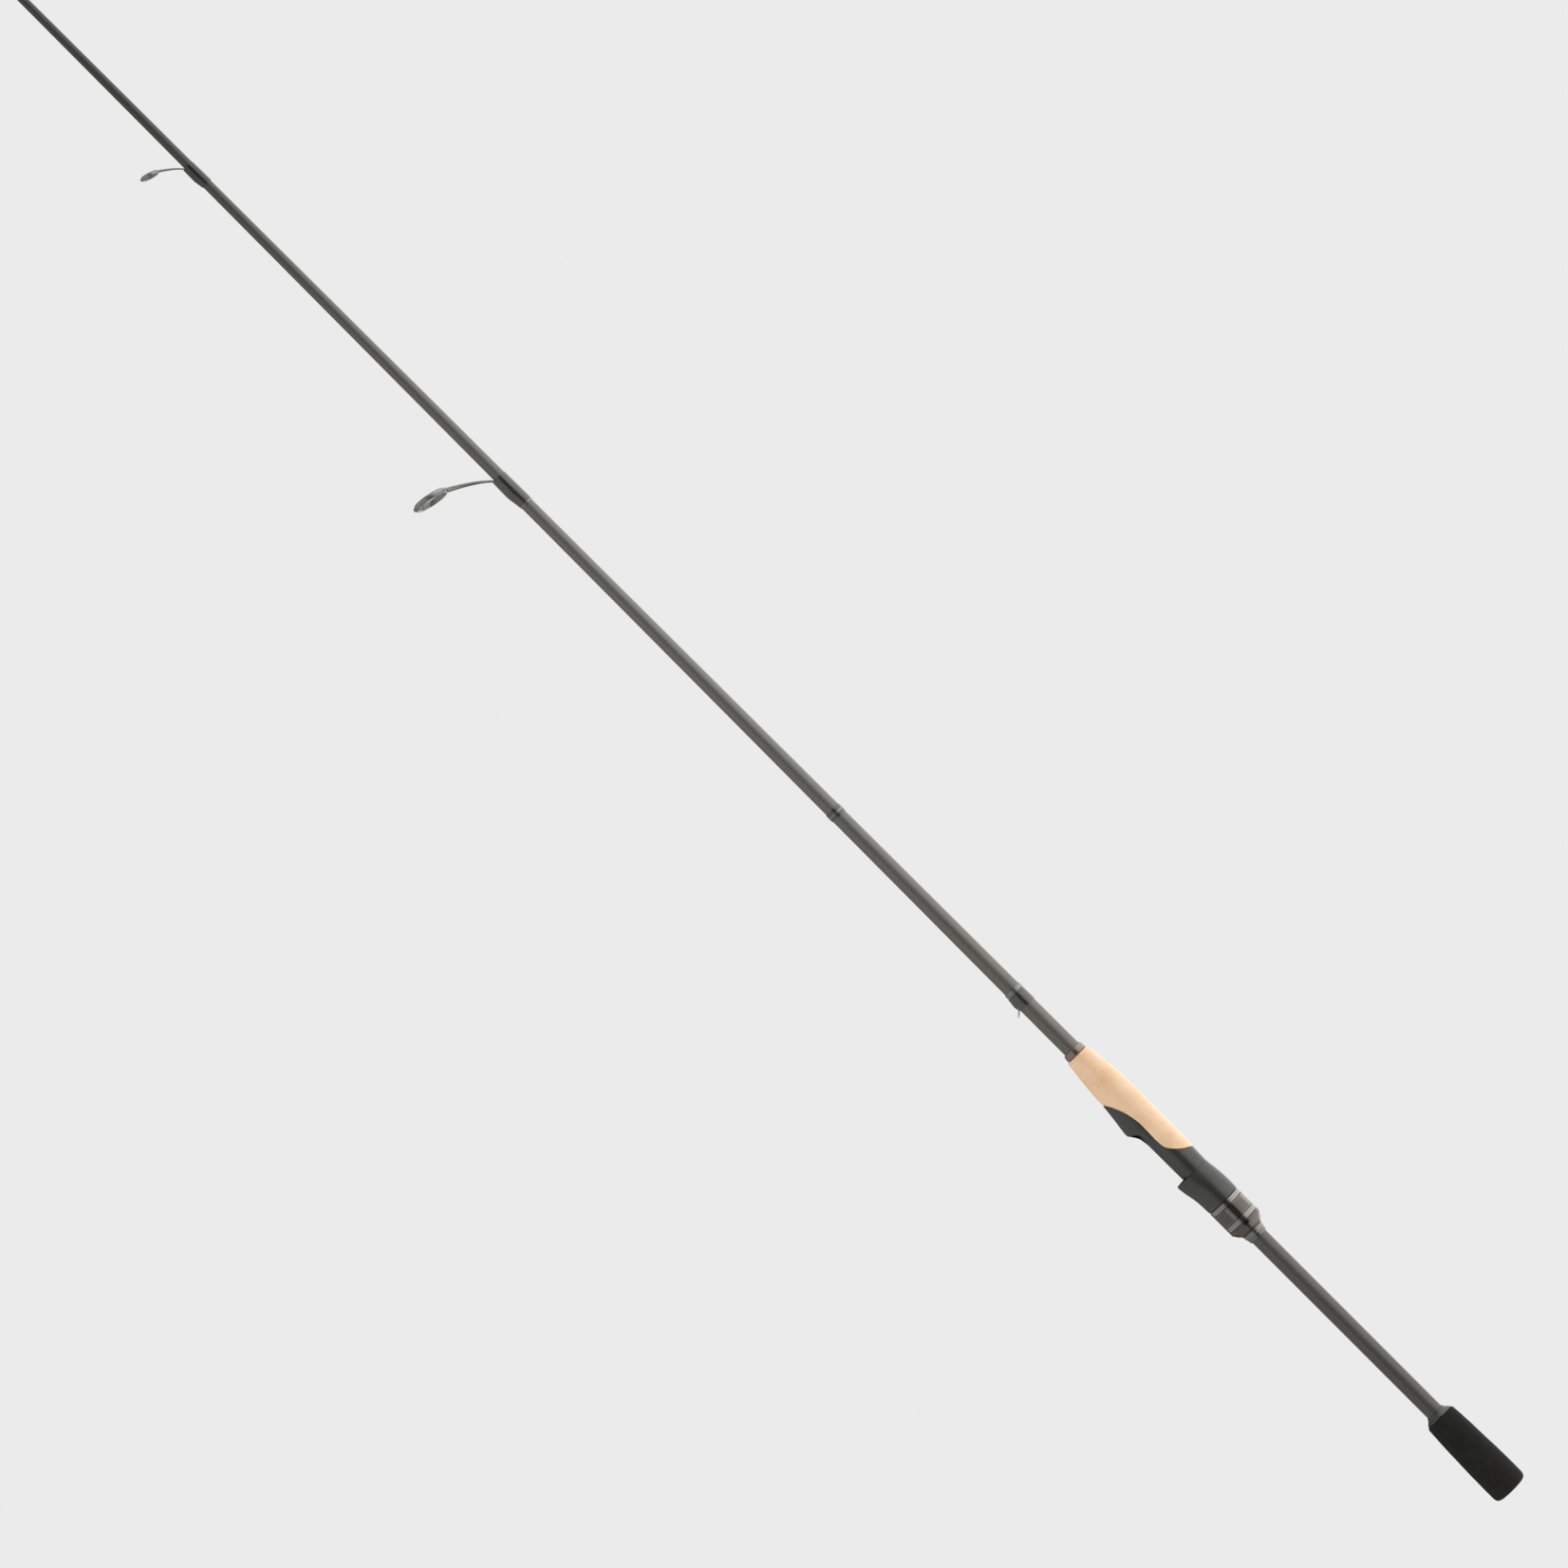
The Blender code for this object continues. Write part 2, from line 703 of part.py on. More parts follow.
def make_guide(name, x, height, radius, lean_degrees, reach, foot_length):
    """A single-foot guide: a foot on the blank, two legs that part on the way up, a band and its ring."""
    sides = ring_sides(radius)
    lean = math.radians(lean_degrees)
    centre = Vector((x, height, 0.0))
    up = Vector((math.sin(lean), math.cos(lean), 0.0))
    frame = band_and_ring(name, (x, height), radius, lean, sides)

    leg = 0.00028 + 0.030 * radius
    foot_end = x - reach
    foot_start = foot_end - foot_length
    lay = blank_radius(foot_start) + FINE_GAP
    thick = 1.9 * leg
    half_wide = 1.7 * leg

    rings = []
    for share, width, top in ((0.0, 0.45, 0.35), (0.4, 1.0, 1.0), (1.0, 1.0, 1.0)):
        place = foot_start + share * foot_length
        wide = width * half_wide
        high = lay + top * thick
        corners = ((lay, -wide), (lay, wide), (high, 0.8 * wide), (high, -0.8 * wide))
        rings.append([(place, y, z) for y, z in corners])
    boolean(frame, loft("foot", "guide_frame", rings), "UNION")

    spread = math.radians(22)
    root = Vector((foot_end + 0.6 * leg, lay + 0.5 * thick, 0.0))
    hold = radius - 0.5 * (0.00032 + 0.045 * radius)
    for side in (-1, 1):
        across = Vector((0.0, 0.0, side))
        tip = centre - hold * math.cos(spread) * up + hold * math.sin(spread) * across
        bend = root + Vector((0.46 * (tip.x - root.x), 0.30 * (tip.y - root.y), 0.0))
        start = root + 0.6 * leg * across
        control = bend + (0.6 * leg + 0.25 * tip.z * side) * across
        points = [start - Vector((4 * leg, 0.0, 0.0)), *quadratic(start, control, tip, sides // 4)]
        boolean(frame, wire("leg", "guide_frame", points, leg, sides // 24), "UNION")

    wrap_start = foot_start - 0.10 * foot_length
    wrap_end = foot_end + 0.3 * leg
    cover = 0.00040 + 0.10 * blank_radius(foot_start)
    rise = thick + FINE_GAP
    wrap = wrap_tube(name + "_wrap", wrap_start, wrap_end, rise, cover, sides // 2 + 6, FINE_GAP)
    pocket_start = foot_start - FINE_GAP
    pocket_end = wrap_end + 0.002
    low = 0.5 * lay
    high = lay + thick + FINE_GAP
    pocket = [(pocket_start, low), (pocket_end, low), (pocket_end, high), (pocket_start, high)]
    boolean(wrap, plate("foot_pocket", "thread", pocket, half_wide + FINE_GAP), "DIFFERENCE")
    return wrap_start


def make_guides():
    guides = list(LARGE_GUIDES)
    x = RUNNING_START
    gap = RUNNING_GAP
    for _ in range(RUNNING_COUNT):
        guides.append((x, *RUNNING_GUIDE))
        x += gap
        gap *= RUNNING_GAP_RATIO
    for number, guide in enumerate(guides, start=1):
        wrap_start = make_guide(f"guide_{number}", *guide)
        if number == 1:
            near, far = (wrap_start - 0.0014, wrap_start - FINE_GAP)
            bore = blank_radius(near) + FINE_GAP
            top = bore + 0.0003
            outer = [(near, top), (far, top)]
            turned("guide_1_trim_ring", "bright_metal", outer, [(near, bore), (far, bore)])


def make_tip_top():
    tube_radius, tube_start, tube_end = TIP_TUBE
    x, height, radius, lean_degrees = TIP_RING
    lean = math.radians(lean_degrees)
    frame = band_and_ring("tip_top", (x, height), radius, lean, ring_sides(radius))
    bore = blank_radius(tube_start) + FINE_GAP
    vent = 0.3 * bore
    nose = tube_end + 0.0005
    bore_end = BLANK_END + GAP
    outer = [(tube_start, tube_radius), (tube_end, tube_radius), (nose, 0.6 * tube_radius)]
    inner = [(tube_start, bore), (bore_end, bore), (bore_end, vent), (nose, vent)]
    boolean(frame, turned("tube", "guide_frame", outer, inner, FINE_SIDES), "UNION")

    up = Vector((math.sin(lean), math.cos(lean), 0.0))
    spread = math.radians(95)
    brace = 0.00032
    hold = radius - 0.00020
    for side in (-1, 1):
        across = Vector((0.0, 0.0, side))
        start = Vector((tube_start + 0.0012, 0.75 * tube_radius, 0.62 * side * tube_radius))
        tip = Vector((x, height, 0.0)) - hold * math.cos(spread) * up + hold * math.sin(spread) * across
        control = 0.5 * (start + tip) - Vector((-0.0012, 0.0010, 0.0))
        points = quadratic(start, control, tip, 4)
        boolean(frame, wire("brace", "guide_frame", points, brace), "UNION")

    wrap_start, wrap_end = TIP_WRAP
    wrap_tube("tip_top_wrap", wrap_start, wrap_end, 0.0, 0.0004, gap=FINE_GAP)


def main():
    clear_scene()
    make_blank()
    make_rear_grip()
    make_seat()
    make_arbors()
    make_sliding_hood()
    make_lock_nut()
    make_foregrip()
    make_keeper()
    make_guides()
    make_tip_top()


main()
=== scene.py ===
"""How the spinning rod looks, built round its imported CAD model.

Metres, in the CAD model's frame: +X runs from the butt to the tip, +Y is the side of the guides and
the reel's foot, and +Z is up as the rod lies on its side.
"""

import json
import math

import bmesh
import bpy
import numpy as np
from mathutils import Matrix, Vector


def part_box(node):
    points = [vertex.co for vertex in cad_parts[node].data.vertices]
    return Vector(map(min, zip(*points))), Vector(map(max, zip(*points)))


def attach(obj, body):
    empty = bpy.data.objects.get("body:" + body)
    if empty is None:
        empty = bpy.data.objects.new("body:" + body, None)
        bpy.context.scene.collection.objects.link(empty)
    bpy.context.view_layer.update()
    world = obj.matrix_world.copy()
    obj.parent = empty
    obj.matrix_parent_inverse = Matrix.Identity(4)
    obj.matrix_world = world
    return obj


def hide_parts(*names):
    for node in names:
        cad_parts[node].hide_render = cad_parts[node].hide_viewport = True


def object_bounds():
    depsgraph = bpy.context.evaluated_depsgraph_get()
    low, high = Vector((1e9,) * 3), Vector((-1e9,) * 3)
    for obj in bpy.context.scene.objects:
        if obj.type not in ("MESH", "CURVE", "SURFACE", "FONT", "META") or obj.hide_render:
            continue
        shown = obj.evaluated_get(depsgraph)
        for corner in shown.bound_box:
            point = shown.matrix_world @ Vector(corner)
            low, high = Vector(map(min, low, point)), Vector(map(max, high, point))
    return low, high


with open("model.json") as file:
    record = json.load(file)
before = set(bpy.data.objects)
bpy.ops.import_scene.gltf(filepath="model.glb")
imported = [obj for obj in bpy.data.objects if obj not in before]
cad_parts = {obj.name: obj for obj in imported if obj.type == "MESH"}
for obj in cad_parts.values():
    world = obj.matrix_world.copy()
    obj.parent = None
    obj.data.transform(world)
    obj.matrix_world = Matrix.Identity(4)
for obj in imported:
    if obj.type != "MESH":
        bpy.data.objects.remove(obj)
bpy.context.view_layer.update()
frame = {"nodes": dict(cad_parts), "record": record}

TURN = 2 * math.pi
SHARP = math.radians(32)  # edges sharper than this are shaded flat
GENTLE_REACH = 0.006  # how far a gentle bend of an outline is rounded

# Reel seat and sliding hood, with their places along the rod
BARREL_RADIUS = 0.0082
SEAT_BORE = 0.0069
THREAD_PITCH = 0.0020
THREAD_DEPTH = 0.0004
THREAD_START = 0.2345
THREAD_END = 0.2675
SHOULDER_X = 0.2847
SEAT_END = 0.3570
CORE_END = 0.3520
FOOT_PLANE = 0.0076
SEAT_FLOOR = FOOT_PLANE - 0.00001  # where cuts down to the foot's plane end
FLAT_START = 0.2680
KEY_HALF_WIDTH = 0.0015
KEY_DEPTH = 0.0008
SOCKET_HALF_WIDTH = 0.0073
HOOD_BORE = 0.0085
HOOD_TAIL_START = 0.2520
HOOD_START = 0.2583
HOOD_END = 0.28462
HOOD_TUNNEL_START = 0.2700
HOOD_LIP = 0.0020  # the key ends this far behind the hood's mouth
KEY_GAP = 0.0003

TUNNEL_START = 0.3180
TUNNEL_END = 0.3405

COLLAR_RIM = 0.2297
CORK_DISC = 0.0127  # the thickness of one cork disc
CORK_SKIN = 0.0094  # the cork's surface lies outside this radius, its bore inside
FOAM_SKIN = 0.0092  # the same for the rear grip

# Lock nut: five brown panels let in between raised ridges, one of them towards the rod's upper side. The
# ridges are painted lighter than the panels, a painted highlight.
NUT_RADIUS = 0.0120
PANEL_START = 0.2448
PANEL_END = 0.2536
PANEL_COUNT = 5
PANEL_DEPTH = 0.00010
PANEL_EDGE = 0.0004
PANEL_EDGE_TURN = math.radians(4.0)
RIDGE_TURN = math.radians(70)
RIDGE_HALF = math.radians(9)

# Guides: the ring's place along the rod, its height, outside radius and lean in degrees,
# how far the foot's end lies behind the ring, and the foot's length. The five running guides are
# alike, each nearer to the one before.
GUIDES = [
    (0.9250, 0.0420, 0.01285, 12.4, 0.0197, 0.0210),
    (1.1955, 0.0224, 0.00680, 16.5, 0.0122, 0.0150),
    (1.3950, 0.0140, 0.00450, 18.0, 0.0080, 0.0115),
]
RUNNING_GUIDE = (0.0080, 0.00330, 20.0, 0.0050, 0.0085)
place, gap = 1.5600, 0.1435
for _ in range(5):
    GUIDES.append((place, *RUNNING_GUIDE))
    place += gap
    gap *= 0.87
LARGE_GUIDES = 2
STRIPPER_TURN = math.radians(5.6)
TIP_RING = (2.1310, 0.0042, 0.00330, 24.0)
ROD_LENGTH = 2.13
FINE_GAP = 0.00015  # between a guide's parts, and under its foot and wrap
KEEPER_GAP = 0.0003

CAMERA_DISTANCE = 5.9
CAMERA_ROLL = math.radians(12)  # how far the camera is turned towards the guides' side
FRAME_WIDTH = 0.9912  # the picture's width at the rod
SENSOR = 36.0
AIM_X = 0.6406  # where the picture's middle lies along the rod, and beside it
AIM_Y = 0.0102
ROD_SLOPE = math.radians(45.013)  # the rod's slope in the picture
STUDIO_TURN = CAMERA_ROLL - math.radians(4)
PALE = 0.8308  # the floor's brightness
FLOOR_REACH = 60.0
ALONG = Vector((1.0, 0.0, 0.0))


# ---------------------------------------------------------------- materials


def feed(tree, socket, value):
    if isinstance(value, bpy.types.NodeSocket):
        tree.links.new(value, socket)
    else:
        socket.default_value = value


def add_node(tree, kind, inputs=None, **settings):
    node = tree.nodes.new(kind)
    for key, value in settings.items():
        setattr(node, key, value)
    for key, value in (inputs or {}).items():
        feed(tree, node.inputs[key], value)
    return node


def fill_ramp(node, stops):
    """Sets a ramp's stops: (position, colour or number) each."""
    elements = node.color_ramp.elements
    while len(elements) < len(stops):
        elements.new(0.5)
    for element, (position, value) in zip(elements, stops):
        element.position = position
        colour = value if isinstance(value, tuple) else (value, value, value)
        element.color = (*colour, 1.0)


class Paint:
    """A procedural material whose patterns are in metres on the object."""

    def __init__(self, name, **values):
        self.made = bpy.data.materials.new("look_" + name)
        self.made.use_nodes = True
        self.tree = self.made.node_tree
        self.shader = self.tree.nodes["Principled BSDF"]
        for key, value in values.items():
            self.shader.inputs[key.replace("_", " ")].default_value = value
        self.place = self.add("ShaderNodeTexCoord").outputs["Object"]
        split = self.add("ShaderNodeSeparateXYZ", {0: self.place})
        self.x, self.y, self.z = split.outputs

    def add(self, kind, inputs=None, **settings):
        return add_node(self.tree, kind, inputs, **settings)

    def feed(self, socket, value):
        feed(self.tree, socket, value)

    def math(self, operation, a, b=0.0):
        return self.add("ShaderNodeMath", {0: a, 1: b}, operation=operation).outputs[0]

    def stretch(self, x, y, z):
        node = self.add("ShaderNodeVectorMath", {0: self.place, 1: (x, y, z)}, operation="MULTIPLY")
        return node.outputs[0]

    def noise(self, scale, detail=3.0, vector=None):
        inputs = {"Vector": vector or self.place, "Scale": scale, "Detail": detail}
        return self.add("ShaderNodeTexNoise", inputs).outputs["Fac"]

    def streaks(self, x, y, z, detail=3.0):
        """Noise drawn out along the axes, with this many grains to the metre on each."""
        return self.noise(1.0, detail, self.stretch(x, y, z))

    def cells(self, scale):
        inputs = {"Vector": self.place, "Scale": scale}
        return self.add("ShaderNodeTexVoronoi", inputs).outputs["Distance"]

    def rise(self, value, start, end):
        """From 0 to 1 as value goes from start to end."""
        return self.add("ShaderNodeMapRange", {"Value": value, 1: start, 2: end}).outputs[0]

    def ramp(self, fac, *stops):
        """Colours or numbers along fac: (position, value) each."""
        node = self.add("ShaderNodeValToRGB", {0: fac})
        fill_ramp(node, stops)
        return node.outputs["Color"]

    def shade(self, share, tone, fac, *stops):
        """The tone multiplied in part by a ramp."""
        return self.mix(share, tone, self.ramp(fac, *stops), "MULTIPLY")

    def mix(self, fac, a, b, blend="MIX"):
        node = self.add("ShaderNodeMix", data_type="RGBA", blend_type=blend)
        a = (*a, 1.0) if isinstance(a, tuple) else a
        b = (*b, 1.0) if isinstance(b, tuple) else b
        for index, value in ((0, fac), (6, a), (7, b)):
            self.feed(node.inputs[index], value)
        return node.outputs[2]

    def colour(self, value):
        self.feed(self.shader.inputs["Base Color"], value)

    def rough(self, fac, low, high):
        made = self.add("ShaderNodeMapRange", {"Value": fac, "To Min": low, "To Max": high})
        self.feed(self.shader.inputs["Roughness"], made.outputs[0])

    def bump(self, height, distance, strength=1.0):
        """Adds a relief of this height in metres on top of those before it."""
        node = self.add("ShaderNodeBump", {"Height": height, "Distance": distance, "Strength": strength})
        normal = self.shader.inputs["Normal"]
        if normal.is_linked:
            self.feed(node.inputs["Normal"], normal.links[0].from_socket)
        self.feed(normal, node.outputs[0])

    def turn(self):
        """The angle round the rod's axis, from -0.5 to 0.5."""
        return self.math("DIVIDE", self.math("ARCTAN2", self.z, self.y), TURN)

    def radius(self):
        across = self.math("MULTIPLY", self.y, self.y)
        up = self.math("MULTIPLY", self.z, self.z)
        return self.math("SQRT", self.math("ADD", across, up))

    def lines(self, pitch, helix=0.0):
        """A wave from 0 to 1 along the rod with this pitch, or a helix with helix starts."""
        phase = self.math("DIVIDE", self.x, pitch)
        if helix:
            phase = self.math("ADD", phase, self.math("MULTIPLY", self.turn(), helix))
        wave = self.math("SINE", self.math("MULTIPLY", phase, TURN))
        return self.math("ADD", self.math("MULTIPLY", wave, 0.5), 0.5)


def paint_blank():
    """Bare graphite tube: olive grey in the handle, darker and browner towards the tip."""
    paint = Paint("blank", Metallic=0.85)
    along = paint.math("DIVIDE", paint.x, ROD_LENGTH)
    base = paint.ramp(
        along,
        (0.04, (0.123, 0.120, 0.109)),
        (0.10, (0.142, 0.140, 0.126)),
        (0.20, (0.194, 0.190, 0.169)),
        (0.38, (0.215, 0.209, 0.189)),
        (0.49, (0.172, 0.164, 0.150)),
        (0.58, (0.100, 0.089, 0.081)),
        (1.00, (0.088, 0.079, 0.073)),
    )
    fibres = paint.streaks(60, 5200, 5200, 4.0)
    cloud = paint.streaks(25, 160, 160)
    tape = paint.lines(0.0042, helix=1.0)
    shade = paint.shade(0.09, base, fibres, (0.30, 0.60), (0.70, 1.35))
    shade = paint.shade(0.08, shade, cloud, (0.25, 0.78), (0.75, 1.22))
    paint.colour(paint.shade(0.05, shade, tape, (0.0, 0.6), (0.4, 1.1)))
    paint.rough(cloud, 0.50, 0.53)
    return paint.made


def paint_eva():
    """Near-black foam, worn a little browner at the butt."""
    paint = Paint("eva", Roughness=0.88, Specular_IOR_Level=0.18)
    pores = paint.cells(2400.0)
    patches = paint.noise(140.0, 4.0)
    worn = paint.ramp(paint.x, (0.0, 1.0), (0.022, 0.0))
    tone = paint.ramp(patches, (0.30, (0.0125, 0.0125, 0.0105)), (0.70, (0.0195, 0.0195, 0.0160)))
    tone = paint.mix(paint.math("MULTIPLY", worn, 0.55), tone, (0.024, 0.018, 0.015))
    paint.colour(paint.shade(0.45, tone, pores, (0.15, 0.45), (0.60, 1.30)))
    paint.rough(patches, 0.80, 0.95)
    paint.bump(pores, 0.00010)
    paint.bump(patches, 0.00012)
    return paint.made


def paint_rubber():
    paint = Paint("rubber", Roughness=0.72, Specular_IOR_Level=0.25)
    grain = paint.noise(1800.0, 4.0)
    scuff = paint.noise(260.0, 5.0)
    tone = paint.ramp(scuff, (0.40, (0.014, 0.014, 0.013)), (0.75, (0.034, 0.032, 0.030)))
    paint.colour(paint.shade(0.3, tone, grain, (0.3, 0.7), (0.7, 1.2)))
    paint.rough(scuff, 0.62, 0.85)
    paint.bump(grain, 0.00004)
    return paint.made


def paint_seat():
    """Dark grey satin paint."""
    paint = Paint("seat", Metallic=0.85)
    grain = paint.noise(4200.0, 3.0)
    cloud = paint.noise(85.0, 4.0)
    scratch = paint.streaks(450, 4200, 4200, 6.0)
    tone = paint.ramp(cloud, (0.30, (0.084, 0.084, 0.079)), (0.70, (0.102, 0.102, 0.096)))
    marks = paint.ramp(scratch, (0.66, 0.0), (0.72, 1.0))
    tone = paint.mix(paint.math("MULTIPLY", marks, 0.22), tone, (0.150, 0.150, 0.142))
    paint.colour(paint.shade(0.20, tone, grain, (0.3, 0.7), (0.7, 1.3)))
    paint.rough(cloud, 0.35, 0.43)
    paint.bump(grain, 0.000006)
    paint.bump(scratch, 0.000004)
    return paint.made


def paint_turned(name, low, high, rough_low, rough_high):
    """Metal with fine rings left by the lathe."""
    paint = Paint(name, Metallic=1.0)
    rings = paint.streaks(9000, 90, 90)
    cloud = paint.noise(220.0, 4.0)
    tone = paint.ramp(rings, (0.30, low), (0.70, high))
    paint.colour(paint.shade(0.25, tone, cloud, (0.3, 0.75), (0.7, 1.15)))
    paint.rough(rings, rough_low, rough_high)
    paint.bump(rings, 0.000006)
    return paint.made


def paint_collar():
    """The collar behind the reel seat: olive grey like the blank, bright on its front rim."""
    paint = Paint("collar", Metallic=0.9)
    rings = paint.streaks(9000, 90, 90)
    rim = paint.rise(paint.x, COLLAR_RIM - 0.0003, COLLAR_RIM)
    tone = paint.ramp(rings, (0.30, (0.160, 0.151, 0.135)), (0.70, (0.208, 0.196, 0.176)))
    paint.colour(paint.mix(rim, tone, (0.240, 0.226, 0.208)))
    paint.rough(rings, 0.22, 0.32)
    paint.bump(rings, 0.000005)
    return paint.made


def paint_nut():
    """Brownish metal, with the raised ridges between the panels painted lighter as a painted highlight."""
    paint = Paint("nut_metal", Metallic=1.0)
    rings = paint.streaks(9000, 90, 90)
    cloud = paint.noise(220.0, 4.0)
    tone = paint.ramp(rings, (0.30, (0.122, 0.104, 0.092)), (0.70, (0.150, 0.131, 0.118)))
    rear = paint.rise(paint.x, PANEL_START - PANEL_EDGE, PANEL_START)
    front = paint.rise(paint.x, PANEL_END + PANEL_EDGE, PANEL_END)
    # painted highlight: the raised ridges between the panels get a lighter colour
    raised = paint.rise(paint.radius(), NUT_RADIUS - 0.8 * PANEL_DEPTH, NUT_RADIUS - 0.2 * PANEL_DEPTH)
    ridge_highlight = paint.math("MULTIPLY", raised, paint.math("MULTIPLY", rear, front))
    tone = paint.mix(paint.math("MULTIPLY", ridge_highlight, 0.85), tone, (0.245, 0.228, 0.213))
    paint.colour(paint.shade(0.25, tone, cloud, (0.3, 0.75), (0.7, 1.15)))
    paint.rough(rings, 0.15, 0.24)
    paint.bump(rings, 0.000006)
    return paint.made


def paint_cork():
    """Sanded and sealed cork discs glued end to end."""
    paint = Paint("cork", Specular_IOR_Level=1.0)
    number = paint.math("FLOOR", paint.math("DIVIDE", paint.x, CORK_DISC))
    tint = paint.add("ShaderNodeTexWhiteNoise", {"W": number}, noise_dimensions="1D").outputs["Value"]
    cloud = paint.noise(75.0, 4.0)
    grain = paint.streaks(700, 380, 380, 4.0)
    cells = paint.cells(1500.0)
    pits = paint.add("ShaderNodeAttribute", attribute_name="pit").outputs["Fac"]
    tone = paint.ramp(
        cloud,
        (0.30, (0.930, 0.580, 0.330)),
        (0.50, (0.985, 0.650, 0.390)),
        (0.70, (1.000, 0.715, 0.455)),
    )
    tone = paint.shade(0.35, tone, tint, (0.0, 0.93), (1.0, 1.05))
    tone = paint.shade(0.09, tone, grain, (0.30, 0.70), (0.55, 1.10))
    tone = paint.shade(0.05, tone, cells, (0.1, 0.7), (0.6, 1.1))
    along = paint.math("FRACT", paint.math("DIVIDE", paint.x, CORK_DISC))
    seam = paint.ramp(paint.math("ABSOLUTE", paint.math("SUBTRACT", along, 0.5)), (0.492, 0.0), (0.498, 1.0))
    tone = paint.mix(paint.math("MULTIPLY", seam, 0.12), tone, (0.42, 0.26, 0.13))
    specks = paint.ramp(paint.noise(430.0, 4.0), (0.67, 0.0), (0.74, 1.0))
    tone = paint.mix(paint.math("MULTIPLY", specks, 0.30), tone, (0.50, 0.30, 0.16))
    paint.colour(paint.mix(paint.math("MULTIPLY", pits, 0.55), tone, (0.400, 0.235, 0.120)))
    paint.rough(cloud, 0.44, 0.56)
    return paint.made


def paint_thread():
    """Dark winding thread under a clear glossy coat."""
    paint = Paint("thread", Metallic=0.85, Coat_Weight=0.3, Coat_Roughness=0.08)
    turns = paint.lines(0.00022)
    cloud = paint.noise(320.0, 3.0)
    fuzz = paint.streaks(9000, 600, 600)
    tone = paint.ramp(turns, (0.0, (0.088, 0.087, 0.080)), (0.6, (0.138, 0.136, 0.124)))
    tone = paint.shade(0.3, tone, fuzz, (0.3, 0.7), (0.7, 1.3))
    along = paint.math("DIVIDE", paint.x, ROD_LENGTH)
    tone = paint.shade(1.0, tone, along, (0.46, 1.0), (0.56, 0.6))
    paint.colour(paint.shade(0.25, tone, cloud, (0.3, 0.8), (0.7, 1.2)))
    paint.rough(fuzz, 0.20, 0.30)
    paint.bump(turns, 0.000008)
    return paint.made


def paint_frame():
    """Polished smoke-grey steel of the guide frames."""
    paint = Paint("guide_frame", Metallic=1.0, Coat_Weight=0.25, Coat_Roughness=0.08)
    grain = paint.streaks(900, 900, 5200, 4.0)
    cloud = paint.noise(260.0, 4.0)
    tone = paint.ramp(cloud, (0.30, (0.300, 0.296, 0.288)), (0.70, (0.380, 0.376, 0.366)))
    paint.colour(paint.shade(0.35, tone, grain, (0.3, 0.75), (0.7, 1.25)))
    paint.rough(grain, 0.32, 0.42)
    paint.bump(grain, 0.000006)
    return paint.made


def paint_ceramic():
    paint = Paint("guide_ring", Metallic=0.25, Coat_Weight=0.8, Coat_Roughness=0.03)
    grain = paint.noise(5200.0, 4.0)
    cloud = paint.noise(600.0, 3.0)
    tone = paint.ramp(cloud, (0.30, (0.170, 0.169, 0.165)), (0.70, (0.230, 0.229, 0.224)))
    paint.colour(paint.shade(0.3, tone, grain, (0.3, 0.8), (0.7, 1.2)))
    paint.rough(grain, 0.08, 0.18)
    paint.bump(grain, 0.000002)
    return paint.made


def paint_steel():
    paint = Paint("steel", Metallic=1.0)
    drawn = paint.streaks(500, 5200, 5200, 4.0)
    cloud = paint.noise(420.0, 3.0)
    tone = paint.ramp(cloud, (0.30, (0.58, 0.58, 0.56)), (0.70, (0.74, 0.73, 0.71)))
    paint.colour(paint.shade(0.3, tone, drawn, (0.3, 0.75), (0.7, 1.15)))
    paint.rough(drawn, 0.18, 0.34)
    paint.bump(drawn, 0.000004)
    return paint.made


def paint_arbor():
    paint = Paint("arbor", Roughness=0.85, Specular_IOR_Level=0.2)
    cells = paint.cells(1900.0)
    cloud = paint.noise(300.0, 4.0)
    tone = paint.ramp(cloud, (0.3, (0.26, 0.235, 0.17)), (0.7, (0.36, 0.335, 0.26)))
    paint.colour(paint.shade(0.4, tone, cells, (0.1, 0.6), (0.6, 1.2)))
    paint.rough(cells, 0.75, 0.95)
    paint.bump(cells, 0.00010)
    return paint.made


LOOKS = {
    "blank": paint_blank(),
    "eva": paint_eva(),
    "rubber": paint_rubber(),
    "seat": paint_seat(),
    "nut_metal": paint_nut(),
    "collar": paint_collar(),
    "bright_metal": paint_turned(
        "bright_metal", (0.275, 0.255, 0.238), (0.345, 0.325, 0.305), 0.16, 0.26
    ),
    "trim": paint_turned("trim", (0.229, 0.236, 0.210), (0.290, 0.302, 0.275), 0.30, 0.42),
    "check_metal": paint_turned(
        "check_metal", (0.270, 0.198, 0.162), (0.360, 0.275, 0.232), 0.28, 0.38
    ),
    "cork": paint_cork(),
    "thread": paint_thread(),
    "guide_frame": paint_frame(),
    "guide_ring": paint_ceramic(),
    "steel": paint_steel(),
    "arbor": paint_arbor(),
}

# ---------------------------------------------------------------- shapes


def skin(name, rows, loop):
    """A mesh through rows of points, each a closed ring. loop joins the last row to the first,
    or else both ends are capped."""
    rows = np.asarray(rows, float)
    count, sides = rows.shape[:2]
    ring = np.arange(sides)
    following = np.roll(ring, -1)
    faces = []
    for row in range(count if loop else count - 1):
        near = row * sides
        far = (row + 1) % count * sides
        faces += np.stack((near + ring, near + following, far + following, far + ring), 1).tolist()
    if not loop:
        faces.append(ring.tolist())
        faces.append((ring + (count - 1) * sides).tolist())
    mesh = bpy.data.meshes.new(name)
    mesh.from_pydata(rows.reshape(-1, 3).tolist(), [], faces)
    return tidy(mesh)


